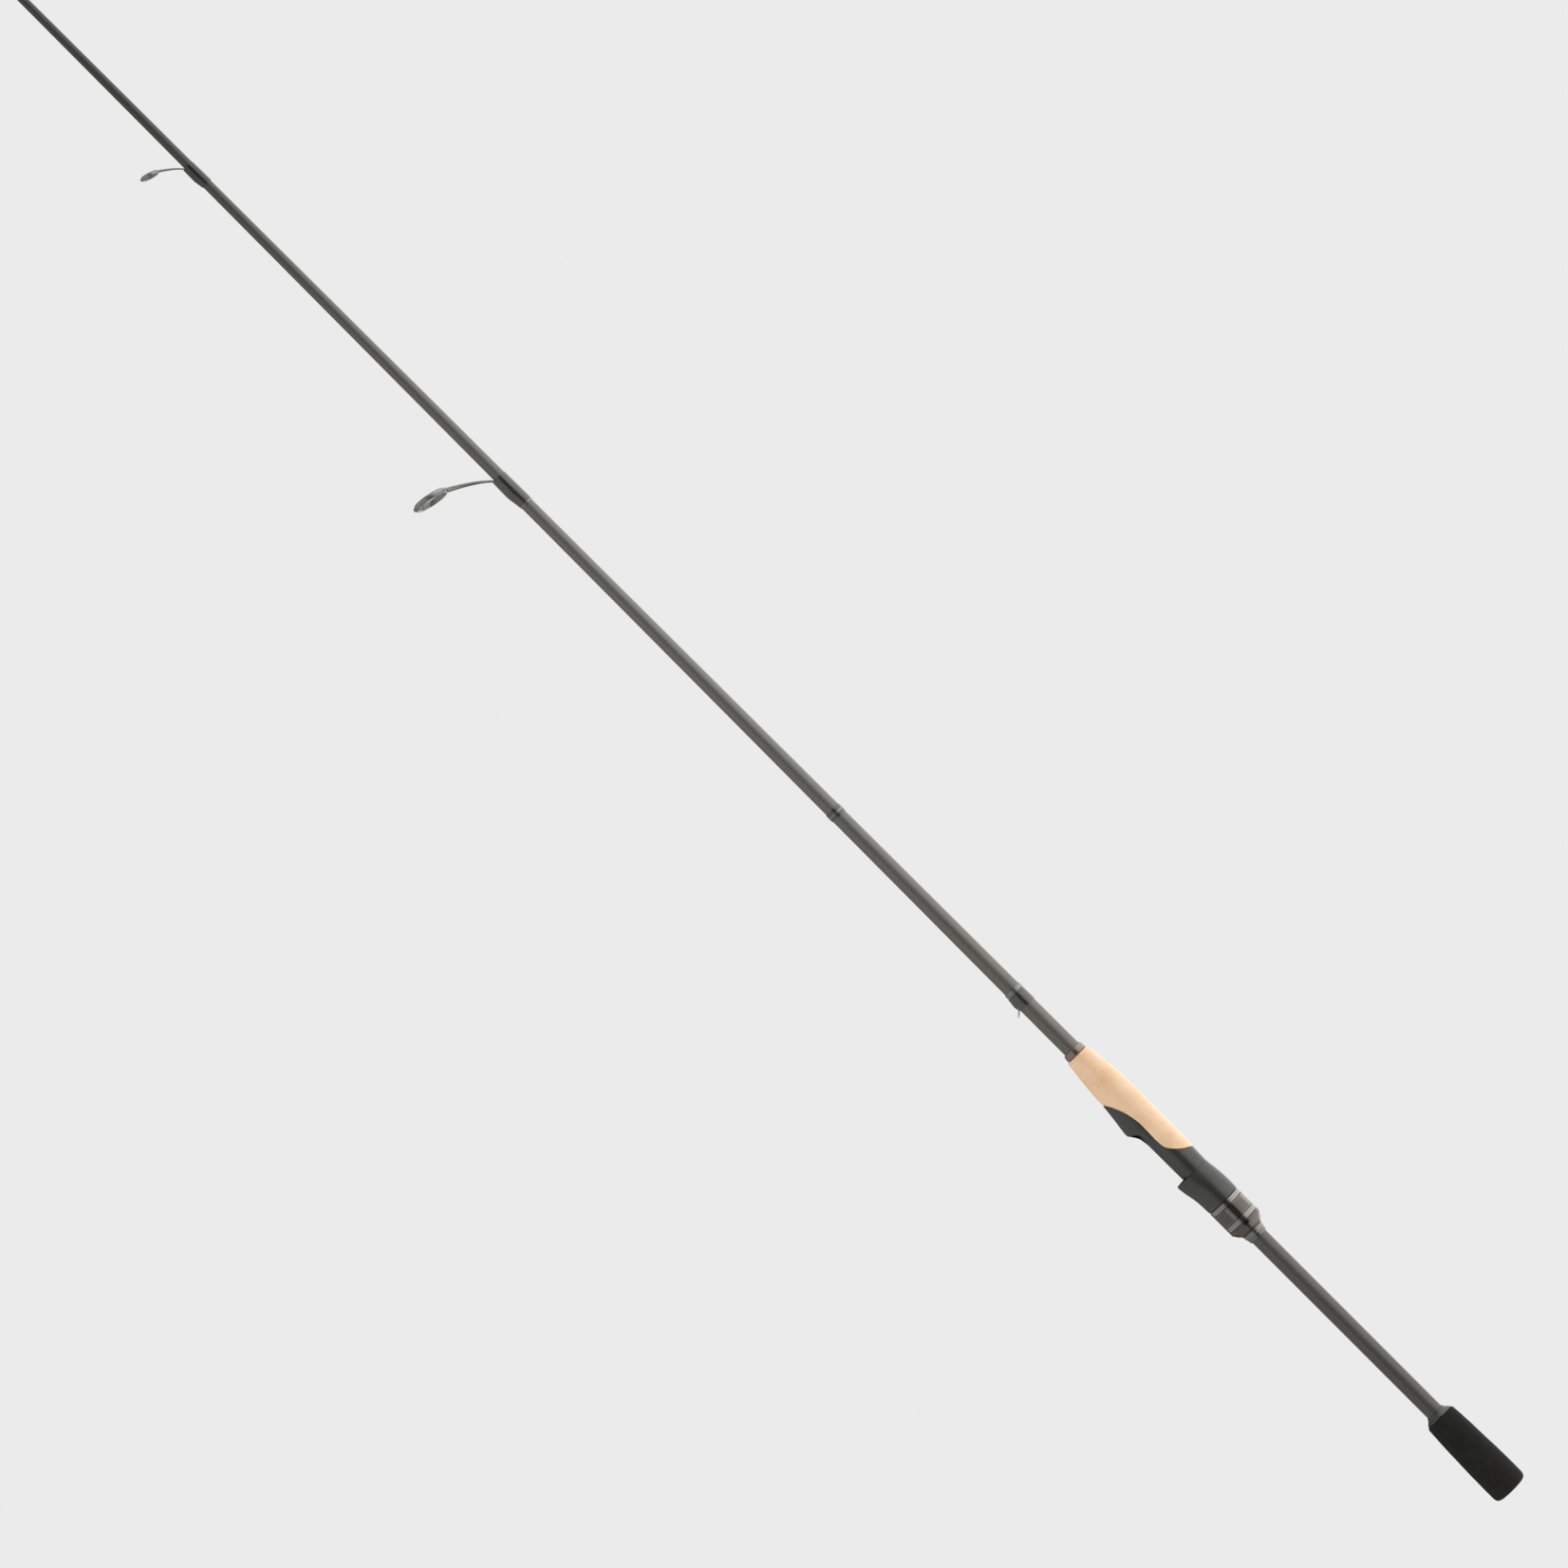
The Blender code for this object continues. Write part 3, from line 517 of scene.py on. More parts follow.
def tidy(mesh):
    """Welds the mesh, turns its faces out and smooths all but its sharp edges."""
    shape = bmesh.new()
    shape.from_mesh(mesh)
    bmesh.ops.remove_doubles(shape, verts=shape.verts, dist=1e-7)
    bmesh.ops.recalc_face_normals(shape, faces=shape.faces)
    shape.to_mesh(mesh)
    shape.free()
    mesh.shade_smooth()
    mesh.set_sharp_from_angle(angle=SHARP)
    return mesh


def angles(sides):
    return TURN * np.arange(sides) / sides


def row(x, y, z):
    """Points (x, y, z) of one section across the rod."""
    return np.stack((np.full_like(y, x), y, z), 1)


def circle(x, radius, angle):
    return row(x, radius * np.cos(angle), radius * np.sin(angle))


def vectors(points):
    return [Vector(point) for point in points]


def link(name, data):
    obj = bpy.data.objects.new(name, data)
    bpy.context.scene.collection.objects.link(obj)
    return obj


def add_piece(name, mesh, body, look, *nodes):
    """A piece that rides on a body, wears a look and stands for CAD nodes."""
    obj = link(name, mesh)
    mesh.materials.clear()
    mesh.materials.append(LOOKS[look])
    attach(obj, body)
    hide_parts(*nodes)
    return obj


def shaped(mesh, *modifiers):
    """The mesh after modifiers: (kind, settings) each. Meshes in the settings stand for objects."""
    obj = link("work", mesh)
    helpers = [obj]
    for kind, settings in modifiers:
        modifier = obj.modifiers.new(kind, kind)
        for key, value in settings.items():
            if isinstance(value, bpy.types.Mesh):
                value = link("cutter", value)
                helpers.append(value)
            setattr(modifier, key, value)
    graph = bpy.context.evaluated_depsgraph_get()
    made = bpy.data.meshes.new_from_object(obj.evaluated_get(graph))
    for helper in helpers:
        bpy.data.objects.remove(helper)
    return tidy(made)


def cut(other):
    return ("BOOLEAN", {"operation": "DIFFERENCE", "solver": "EXACT", "object": other})


def joined(*meshes):
    """All the meshes in one."""
    shape = bmesh.new()
    for mesh in meshes:
        shape.from_mesh(mesh)
    made = bpy.data.meshes.new(meshes[0].name)
    shape.to_mesh(made)
    shape.free()
    return made


def outline(node, side=1):
    """The outline (x, radius) of a turned CAD node, where its mesh meets the half plane on one side.

    It is closed, or runs from axis to axis where the piece is solid."""
    shape = bmesh.new()
    shape.from_mesh(frame["nodes"][node].data)
    bmesh.ops.remove_doubles(shape, verts=shape.verts, dist=1e-6)
    flat = {v for v in shape.verts if abs(v.co.z) < 1e-6 and side * v.co.y > -1e-7}
    at = min(flat, key=lambda v: (round(v.co.x, 6), side * v.co.y))
    path = []
    last = None
    while at not in path:
        path.append(at)
        ways = [e.other_vert(at) for e in at.link_edges if e.other_vert(at) in flat]
        ways = [v for v in ways if v is not last]
        if not ways:
            break
        last = at
        at = max(ways, key=lambda v: (side * v.co.y if len(path) == 1 else 0, v.index))
    points = [Vector((v.co.x, side * v.co.y)) for v in path]
    shape.free()
    return points


def between(a, b, c, d, t):
    """A point between b and c on a smooth curve through all four, whatever their spacing."""
    near, step, far = (b - a).length, (c - b).length, (d - c).length
    leave = ((b - a) / near + (c - b) / step) * 0.5 * min(step, 2 * near)
    arrive = ((c - b) / step + (d - c) / far) * 0.5 * min(step, 2 * far)
    point = (2 * t**3 - 3 * t**2 + 1) * b + (3 * t**2 - 2 * t**3) * c
    return point + (t**3 - 2 * t**2 + t) * leave + (t**3 - t**2) * arrive


def curve(knots, steps):
    """Points along a smooth curve through the knots."""
    padded = [2 * knots[0] - knots[1], *knots, 2 * knots[-1] - knots[-2]]
    points = []
    for quad in zip(padded, padded[1:], padded[2:], padded[3:]):
        points += [between(*quad, step / steps) for step in range(steps)]
    return [*points, knots[-1]]


def bezier(start, control, end, steps):
    shares = [k / steps for k in range(steps + 1)]
    return [(1 - t) ** 2 * start + 2 * t * (1 - t) * control + t**2 * end for t in shares]


def soften(points, edge, step):
    """A closed outline with its corners rounded to edge, its gentle bends rounded far more, and
    points no further than step apart."""
    made = []
    for i, here in enumerate(points):
        a, b = points[i - 1] - here, points[(i + 1) % len(points)] - here
        sharp = math.pi - a.angle(b) > math.radians(24)
        reach = min(edge if sharp else GENTLE_REACH, 0.45 * a.length, 0.45 * b.length)
        start = here + reach * a.normalized()
        end = here + reach * b.normalized()
        if made:
            steps = math.ceil((start - made[-1]).length / step)
            made += [made[-1].lerp(start, k / steps) for k in range(1, steps)]
        steps = 4 if sharp else max(4, math.ceil(2 * reach / step))
        made += bezier(start, here, end, steps)
    steps = math.ceil((made[0] - made[-1]).length / step)
    return made + [made[-1].lerp(made[0], k / steps) for k in range(1, steps)]


def spin(name, points, sides, relief=None):
    """Turns an outline (x, radius) about the rod's axis. relief(x, radius, angle) gives the radius there."""
    angle = angles(sides)
    x = np.array([p[0] for p in points])[:, None] + 0 * angle
    radius = np.array([p[1] for p in points])[:, None] + 0 * angle
    if relief:
        radius = relief(x, radius, angle[None, :] + 0 * x)
    return skin(name, np.stack((x, radius * np.cos(angle), radius * np.sin(angle)), 2), loop=True)


def turned(node, body, look, edge, step, sides, relief=None):
    """A finer copy of a turned CAD node, with rounded edges."""
    points = soften(outline(node), edge, step)
    name = node + "_fine"
    return add_piece(name, spin(name, points, sides, relief), body, look, node)


def tube(name, points, radii, sides):
    """A closed tube along the points."""
    points = vectors(points)
    rows = []
    side = Vector((0, 0, 1))
    for i, point in enumerate(points):
        ahead = (points[min(i + 1, len(points) - 1)] - points[max(i - 1, 0)]).normalized()
        up = side.cross(ahead).normalized()
        side = ahead.cross(up).normalized()
        ring = []
        for k in range(sides):
            angle = TURN * k / sides
            ring.append(point + radii[i] * (math.cos(angle) * up + math.sin(angle) * side))
        rows.append(ring)
    for end, beside in ((0, 1), (-1, -2)):
        tip = points[end] - 0.5 * radii[end] * (points[beside] - points[end]).normalized()
        cap = [tip + 0.45 * (p - points[end]) for p in rows[end]]
        rows = [cap, *rows] if end == 0 else [*rows, cap]
    return skin(name, rows, loop=False)


def block(name, outline_points, half):
    """A flat outline in the X-Y plane, as thick as twice half along Z."""
    rows = [[(x, y, z) for x, y in outline_points] for z in (-half, half)]
    return skin(name, rows, loop=False)


# ---------------------------------------------------------------- blank and handle

turned("blank", "rod", "blank", 0.00015, 0.010, 96)


def foam_dents(x, radius, angle):
    """The slow unevenness of sanded foam, on the outside only."""
    wave = np.sin(310 * x + 2 * angle) + np.sin(170 * x - 3 * angle + 1.0) + np.sin(650 * x + 5 * angle)
    return radius + np.where(radius > FOAM_SKIN, 0.00002 * wave, 0.0)


grip = turned("rear_grip", "rod", "eva", 0.0012, 0.0006, 160, relief=foam_dents)

turned("grip_trim_cone", "rod", "seat", 0.00025, 0.0004, 96)
turned("seat_end_ring", "rod", "collar", 0.00025, 0.0003, 96)
turned("front_check", "rod", "check_metal", 0.00020, 0.0003, 96)
turned("keeper_trim_band", "rod", "trim", 0.00012, 0.0003, 72)
turned("mid_trim_ring", "rod", "trim", 0.00010, 0.0003, 72)
turned("mid_wrap_rear", "rod", "thread", 0.00015, 0.0003, 72)
turned("mid_wrap_front", "rod", "thread", 0.00015, 0.0003, 72)
turned("guide_1_trim_ring", "rod", "trim", 0.00008, 0.0003, 72)


# ---------------------------------------------------------------- lock nut


def nut_panels(x, radius, angle):
    """The panels let into the nut between its two bright rings."""
    pitch = TURN / PANEL_COUNT
    aside = np.abs((angle - RIDGE_TURN + 0.5 * pitch) % pitch - 0.5 * pitch) - RIDGE_HALF
    around = np.clip(aside / PANEL_EDGE_TURN, 0, 1)
    along = np.clip(np.minimum(x - PANEL_START, PANEL_END - x) / PANEL_EDGE, 0, 1)
    return radius - np.where(radius > NUT_RADIUS - 0.0002, PANEL_DEPTH * around * along, 0.0)


turned("lock_nut", "nut", "nut_metal", 0.00018, 0.0003, 288, relief=nut_panels)
turned("nut_ring_rear", "nut", "bright_metal", 0.00025, 0.0003, 128)
turned("nut_ring_front", "nut", "bright_metal", 0.00025, 0.0003, 128)


# ---------------------------------------------------------------- reel seat


def egg(side, rise, angle):
    """(y, z) at angles from +Y of a circle whose guide side is stretched to rise."""
    reach = np.where(np.cos(angle) > 0, rise, side)
    return reach * np.cos(angle), side * np.sin(angle)


def soft_min(a, b, blend):
    """The lower of two heights, rounded where they cross."""
    share = np.clip(0.5 + 0.5 * (b - a) / blend, 0, 1)
    return b * (1 - share) + a * share - blend * share * (1 - share)


def stations_at(stations, x, smooth):
    """Each column of the stations at x, along straight lines or a smooth curve."""
    table = np.array(stations)
    if not smooth:
        return [np.interp(x, table[:, 0], table[:, k]) for k in range(1, table.shape[1])]
    fine = np.array([list(v) for v in curve(vectors(stations), 12)])
    return [np.interp(x, fine[:, 0], fine[:, k]) for k in range(1, table.shape[1])]


def make_barrel():
    """The threaded barrel, with the hood's key groove at the back and the flat at the front."""
    angle = angles(144)
    rows = []
    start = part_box("reel_seat")[0].x
    places = np.arange(start, SHOULDER_X + 0.0006, 0.00020)
    for index, x in enumerate(places):
        turns = (x / THREAD_PITCH + angle / TURN) % 1.0
        tooth = np.clip(1.7 - 5.2 * np.abs(turns - 0.5), 0, 1)
        fade = np.clip(min(x - THREAD_START, THREAD_END - x) / 0.0010, 0, 1)
        depth = THREAD_DEPTH * fade * (1 - tooth)
        if index < 2:
            depth = depth + 0.0003 * (2 - index) / 2
        radius = BARREL_RADIUS - depth
        y, z = radius * np.cos(angle), radius * np.sin(angle)
        groove = np.clip((KEY_HALF_WIDTH - np.abs(z)) / 0.0003, 0, 1) * (y < 0)
        y = y * (1 - groove) - groove * np.minimum(-y, BARREL_RADIUS - KEY_DEPTH)
        if x > FLAT_START:
            y = np.minimum(y, FOOT_PLANE)
        rows.append(row(x, y, z))
    rows += [circle(x, SEAT_BORE, angle) for x in (places[-1], start)]
    return skin("reel_seat_barrel", rows, loop=True)


def cork_line(shift):
    """The line in side view where the cork meets the seat, moved towards the cork by shift."""
    knots = (
        (0.2950, -0.0135),
        (0.2960, -0.0105),
        (0.2973, -0.0076),
        (0.2999, -0.0029),
        (0.3036, 0.0013),
        (0.3083, 0.0046),
        (0.3140, 0.0054),
        (0.3230, 0.0054),
        (0.3310, 0.0054),
        (0.3400, 0.0069),
        (0.3480, 0.0095),
        (0.3572, 0.0130),
    )
    step = Vector((shift, -shift))
    return [tuple(point + step) for point in curve(vectors(knots), 14)]


def arch(x, floor, height):
    """One end of the fixed hood's tunnel for the reel's foot."""
    turns = [math.pi * k / 40 for k in range(41)]
    return [(x, floor + height * math.sin(t), SOCKET_HALF_WIDTH * math.cos(t)) for t in turns]


def make_seat_body():
    """The seat's body: the flat for the reel's foot and the fixed hood, cut along the cork's line."""
    angle = angles(160)
    body = (  # place, half width, height towards the guides
        (SHOULDER_X, 0.01040, 0.01040),
        (0.2980, 0.01080, 0.01080),
        (0.3160, 0.01090, 0.01090),
        (0.3200, 0.01090, 0.01440),
        (0.3322, 0.01090, 0.01440),
        (0.3360, 0.01100, 0.01390),
        (0.3420, 0.01120, 0.01300),
        (0.3500, 0.01130, 0.01200),
        (SEAT_END, 0.01140, 0.01140),
    )
    roof = (  # place, highest point left standing
        (0.2680, FOOT_PLANE),
        (0.3165, FOOT_PLANE),
        (0.3195, 0.00785),
        (0.3222, 0.0084),
        (0.3250, 0.0100),
        (0.3285, 0.0131),
        (0.3312, 0.0170),
        (0.3330, 0.0250),
    )
    rows = []
    for x, shrink in [(SHOULDER_X, 0.00015), (SHOULDER_X + 0.00008, 0.00004)]:
        side, rise = stations_at(body, x, False)
        y, z = egg(side - shrink, rise - shrink, angle)
        rows.append(row(x, soft_min(y, FOOT_PLANE, 0.0006), z))
    for x in np.arange(SHOULDER_X + 0.0005, SEAT_END + 0.0001, 0.0004):
        side, rise = stations_at(body, x, False)
        y, z = egg(side, rise, angle)
        (top,) = stations_at(roof, x, True)
        rows.append(row(x, soft_min(y, top, 0.0007), z))
    shell = skin("shell", rows, loop=False)
    back = [(SEAT_END + 0.01, 0.0130), (SEAT_END + 0.01, -0.0135)]
    room = block("cork_room", cork_line(0.0) + back, 0.020)
    ends = [arch(TUNNEL_START, SEAT_FLOOR, 0.0062), arch(TUNNEL_END, SEAT_FLOOR, 0.0033)]
    tunnel = skin("tunnel", ends, loop=False)
    ends = [circle(x, BARREL_RADIUS - 0.0001, angles(128)) for x in (SHOULDER_X - 0.01, SEAT_END + 0.01)]
    bore = skin("bore", ends, loop=False)
    return shaped(shell, cut(room), cut(bore), cut(tunnel))


def make_seat_core():
    """The tube inside the body that the cork sits on."""
    start = SHOULDER_X + 0.0008
    wall = ((start, BARREL_RADIUS), (CORE_END, BARREL_RADIUS), (CORE_END, SEAT_BORE), (start, SEAT_BORE))
    mesh = spin("reel_seat_core", soften(vectors(wall), 0.0001, 0.002), 144)
    rear = SHOULDER_X - 0.001
    over = [(rear, SEAT_FLOOR), (TUNNEL_END, SEAT_FLOOR), (TUNNEL_END, 0.02), (rear, 0.02)]
    return shaped(mesh, cut(block("flat", over, SOCKET_HALF_WIDTH)))


add_piece("reel_seat_barrel", make_barrel(), "rod", "seat", "reel_seat")
add_piece("reel_seat_body", make_seat_body(), "rod", "seat", "reel_seat")
add_piece("reel_seat_core", make_seat_core(), "rod", "seat", "reel_seat")


# ---------------------------------------------------------------- sliding hood


def hood_inside(x, angle):
    """The radius inside the sliding hood: its bore, the tunnel for the reel's foot, and its key."""
    radius = np.full_like(angle, HOOD_BORE)
    across, up = np.sin(angle), np.cos(angle)
    if HOOD_TUNNEL_START <= x:
        height = np.interp(x, (HOOD_TUNNEL_START, HOOD_END + 0.001), (0.0026, 0.0061))
        floor = FOOT_PLANE - 0.0003
        a = (up / height) ** 2 + (across / SOCKET_HALF_WIDTH) ** 2
        b = -2 * up * floor / height**2
        c = (floor / height) ** 2 - 1
        inside = np.clip(b * b - 4 * a * c, 0, None)
        reach = (-b + np.sqrt(inside)) / (2 * a)
        hit = (b * b - 4 * a * c > 0) & (reach * up >= floor)
        radius = np.where(hit, np.maximum(radius, reach), radius)
    if HOOD_START <= x <= HOOD_END - HOOD_LIP:
        key = (up < 0) & (np.abs(HOOD_BORE * across) < KEY_HALF_WIDTH - KEY_GAP)
        radius = np.where(key, (BARREL_RADIUS - KEY_DEPTH + KEY_GAP) / np.maximum(-up, 0.5), radius)
    return radius


def make_sliding_hood():
    angle = angles(192)
    stations = (  # place, half width, height towards the guides
        (0.2588, 0.01200, 0.01200),
        (0.2680, 0.01200, 0.01240),
        (0.2728, 0.01170, 0.01310),
        (0.2776, 0.01120, 0.01410),
        (0.2815, 0.01070, 0.01470),
        (0.2836, 0.01050, 0.01490),
        (HOOD_END, 0.01040, 0.01460),
    )
    tail = ((0.0, 0.0094), (0.0002, 0.0096))
    shoulder = ((0.0, 0.0096), (0.0, 0.0116), (0.0001, 0.0118), (0.0003, 0.01195))
    profile = [(HOOD_TAIL_START + x, radius, radius) for x, radius in tail]
    profile += [(HOOD_START + x, radius, radius) for x, radius in shoulder]
    for x in np.arange(0.2588, HOOD_END - 0.0003, 0.0004):
        side, rise = stations_at(stations, x, True)
        profile.append((x, float(side), float(rise)))
    profile += [(HOOD_END - 0.00008, 0.01040, 0.01460), (HOOD_END, 0.01032, 0.01450)]
    rows = [row(x, *egg(side, rise, angle)) for x, side, rise in profile]
    inner = (  # close pairs where it steps
        HOOD_END,
        HOOD_END - 0.0019,
        HOOD_END - 0.0021,
        0.2760,
        0.27001,
        0.2699,
        HOOD_START + 0.00001,
        HOOD_START - 0.00001,
        HOOD_TAIL_START,
    )
    rows += [circle(x, hood_inside(x, angle), angle) for x in inner]
    return skin("sliding_hood_fine", rows, loop=True)


add_piece("sliding_hood_fine", make_sliding_hood(), "hood", "seat", "sliding_hood")


# ---------------------------------------------------------------- cork foregrip


def cork_pits():
    """Places and sizes of the open pores in the cork: (x, angle, half length, half width, depth)."""
    random = np.random.default_rng(11)
    low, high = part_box("cork_foregrip")
    count = 120
    return np.stack(
        (
            random.uniform(low.x, high.x, count),
            random.uniform(0, TURN, count),
            random.uniform(0.00025, 0.00075, count),
            random.uniform(0.00030, 0.00130, count),
            random.uniform(0.25, 1.0, count) ** 2,
        ),
        1,
    )


PITS = cork_pits()


def pit_depth(x, radius, angle):
    """How deep in a pore each point lies, from 0 to 1."""
    deep = np.zeros_like(x)
    for at, turn, half_length, half_width, share in PITS:
        around = (angle - turn + math.pi) % TURN - math.pi
        far = ((x - at) / half_length) ** 2 + (around * radius / half_width) ** 2
        deep = np.maximum(deep, share * np.clip(1.25 - far, 0, 1))
    return deep


def cork_relief(x, radius, angle):
    return radius - np.where(radius > CORK_SKIN, 0.00016 * pit_depth(x, radius, angle), 0.0)


def make_cork():
    """The cork without the room that the reel seat takes, and with its pores marked for the material."""
    points = soften(outline("cork_foregrip", side=-1), 0.00025, 0.0004)
    mesh = spin("cork", points, 176, cork_relief)
    line = cork_line(0.00025)
    room = line + [(SEAT_END + 0.0003, 0.020), (0.2900, 0.020), (0.2900, -0.0138)]
    mesh = shaped(mesh, cut(block("seat_room", room, 0.020)))
    where = np.array([v.co for v in mesh.vertices])
    radius = np.hypot(where[:, 1], where[:, 2])
    deep = pit_depth(where[:, 0], radius, np.arctan2(where[:, 2], where[:, 1]))
    layer = mesh.attributes.new("pit", "FLOAT", "POINT")
    layer.data.foreach_set("value", deep.astype(np.float32))
    return mesh


add_piece("cork_foregrip_fine", make_cork(), "rod", "cork", "cork_foregrip")


# ---------------------------------------------------------------- thread wraps and hook keeper


def blank_line():
    """The blank's outside (x, radius) from butt to tip."""
    outer = {}
    for point in outline("blank"):
        at = round(point.x, 6)
        outer[at] = max(point.y, outer.get(at, 0.0))
    return np.array(sorted(outer.items()))


BLANK_LINE = blank_line()


def blank_radius(x):
    return float(np.interp(x, BLANK_LINE[:, 0], BLANK_LINE[:, 1]))


def smooth_step(share):
    share = min(1.0, max(0.0, share))
    return share * share * (3 - 2 * share)


def make_wrap(node, gap, taper=0.0):
    """A winding that thins towards the tip, swells over the foot and has rounded ends. taper lowers
    the swelling towards the tip."""
    low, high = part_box(node)
    start, end = low.x, high.x
    cover = high.z - blank_radius(start) - gap
    lift = high.y - high.z
    angle = angles(96)
    rows = []
    for share in (0.0, 0.004, 0.012, 0.025, 0.04, *np.linspace(0.06, 0.94, 45), 0.965, 0.985, 0.996, 1.0):
        x = start + share * (end - start)
        ends = math.sqrt(1 - max(0.0, 1 - share / 0.05, 1 - (1 - share) / 0.05) ** 2)
        wall = cover * (0.62 - 0.32 * share) * (0.35 + 0.65 * ends)
        foot = 0.94 * lift * smooth_step((share + 0.03) / 0.50) * (0.6 + 0.4 * ends)
        foot *= 1 - taper * smooth_step((share - 0.20) / 0.80)
        bulge = np.exp(-((np.sin(angle / 2) / 0.40) ** 2))
        rows.append(circle(x, blank_radius(x) + gap + wall + foot * bulge, angle))
    rows += [circle(x, blank_radius(x) + gap, angle) for x in (end, start)]
    return add_piece(node + "_fine", skin(node, rows, loop=True), "rod", "thread", node)


make_wrap("keeper_wrap", KEEPER_GAP, taper=0.6)
for number in range(1, 9):
    make_wrap(f"guide_{number}_wrap", FINE_GAP)
make_wrap("tip_top_wrap", FINE_GAP)


def make_keeper():
    """A thin wire loop that stands up behind its wrap, with both ends bound under it."""
    low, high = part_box("keeper_wrap")
    start, end = low.x, high.x
    radius = blank_radius(start)
    thick = 0.00028
    lay = radius + KEEPER_GAP + thick
    spread = 0.0014
    half = [
        (end - 0.0040, lay, spread),
        (start + 0.0030, lay, spread),
        (start + 0.0008, lay + 0.0003, spread),
        (start - 0.0007, lay + 0.0017, 1.15 * spread),
        (start - 0.0017, lay + 0.0031, 0.80 * spread),
    ]
    crown = (start - 0.0021, radius + 0.0041, 0.0)
    knots = half + [crown] + [(x, y, -z) for x, y, z in reversed(half)]
    points = curve(vectors(knots), 8)
    mesh = tube("keeper", points, [thick] * len(points), 20)
    add_piece("hook_keeper_fine", mesh, "rod", "steel", "hook_keeper")


make_keeper()


# ---------------------------------------------------------------- guides


def lean_frame(x, height, degrees, turn=0.0):
    """Centre, axis and upward direction of a ring that leans to the tip and is turned about up."""
    lean = math.radians(degrees)
    axis = Vector((math.cos(turn) * math.cos(lean), -math.cos(turn) * math.sin(lean), -math.sin(turn)))
    up = Vector((math.sin(lean), math.cos(lean), 0.0))
    return Vector((x, height, 0.0)), axis, up


def ring_mesh(name, centre, axis, up, section, sides):
    """Turns a closed section of (along, radius) about a leaning axis."""
    side = axis.cross(up)
    turns = [TURN * k / sides for k in range(sides)]
    rays = [math.cos(t) * up + math.sin(t) * side for t in turns]
    rows = [[centre + along * axis + radius * ray for ray in rays] for along, radius in section]
    return skin(name, rows, loop=True)


def band_section(radius):
    """The section (along, radius) of a ring's metal band, its wall, and half its width."""
    wall = 0.00032 + 0.045 * radius
    half = 0.00024 + 0.035 * radius
    inside = radius - wall
    corners = vectors(((-half, radius), (half, radius), (half, inside), (-half, inside)))
    return soften(corners, 0.38 * wall, half), wall, half


def ceramic_section(radius, wall, half):
    """The oval section of the ceramic ring inside the band."""
    thick = 0.5 * (0.00028 + 0.120 * radius)
    middle = radius - wall - FINE_GAP - thick
    turns = [TURN * k / 28 for k in range(28)]
    return [(2.8 * half * math.sin(t), middle + thick * math.cos(t)) for t in turns]


def melted(name, voxel, *meshes):
    """Closed meshes grown into one, with the joints between them rounded as in brazed metal."""
    remesh = ("REMESH", {"mode": "VOXEL", "voxel_size": voxel, "use_smooth_shade": True})
    smooth = ("SMOOTH", {"factor": 0.5, "iterations": 4})
    made = shaped(joined(*meshes), remesh, smooth)
    made.name = name
    return made


def make_guide(number, x, height, radius, degrees, reach, foot_length):
    """A single-foot guide: a leaning ring on two legs that grow out of one flat foot."""
    name = f"guide_{number}"
    centre, axis, up = lean_frame(x, height, degrees, STRIPPER_TURN if number == 1 else 0.0)
    sides = 128 if number <= LARGE_GUIDES else 72
    section, wall, half = band_section(radius)
    band = ring_mesh("band", centre, axis, up, section, sides)
    ceramic = ring_mesh(name + "_ring_fine", centre, axis, up, ceramic_section(radius, wall, half), sides)
    add_piece(name + "_ring_fine", ceramic, "rod", "guide_ring", name + "_ring")

    leg = 0.00012 + 0.045 * radius
    foot_end = x - reach
    foot_start = foot_end - foot_length
    lay = blank_radius(foot_start) + FINE_GAP
    thick = 1.9 * leg
    half_wide = 1.7 * leg
    rows = []
    for share in np.linspace(0, 1, 16):
        place = foot_start + share * foot_length
        grow = min(1.0, share / 0.4)
        wide = half_wide * (0.45 + 0.55 * grow)
        high = thick * (0.35 + 0.65 * grow)
        top = lay + high
        corners = vectors(((-wide, lay), (wide, lay), (0.8 * wide, top), (-0.8 * wide, top)))
        rows.append([(place, p.y, p.x) for p in soften(corners, 0.25 * leg, 1.0)])
    pieces = [band, skin("foot", rows, loop=False)]

    spread = math.radians(18)
    root = Vector((foot_end + 0.6 * leg, lay + 0.5 * thick, 0.0))
    hold = radius - 0.5 * wall
    for side in (-1, 1):
        across = Vector((0.0, 0.0, side))
        tip = centre - hold * math.cos(spread) * up + hold * math.sin(spread) * side * axis.cross(up)
        bend = root + Vector((0.46 * (tip.x - root.x), 0.30 * (tip.y - root.y), 0.0))
        start = root + 0.6 * leg * across
        control = bend + (0.6 * leg + 0.25 * tip.z * side) * across
        points = [start - 4 * leg * ALONG, *bezier(start, control, tip, 28)]
        radii = [leg * (1.00 + 0.16 * k / len(points)) for k in range(len(points))]
        pieces.append(tube("leg", points, radii, 20))
    voxel = max(0.00007, 0.16 * leg)
    mesh = melted(name + "_frame_fine", voxel, *pieces)
    add_piece(name + "_frame_fine", mesh, "rod", "guide_frame", name + "_frame")


for number, guide in enumerate(GUIDES, start=1):
    make_guide(number, *guide)


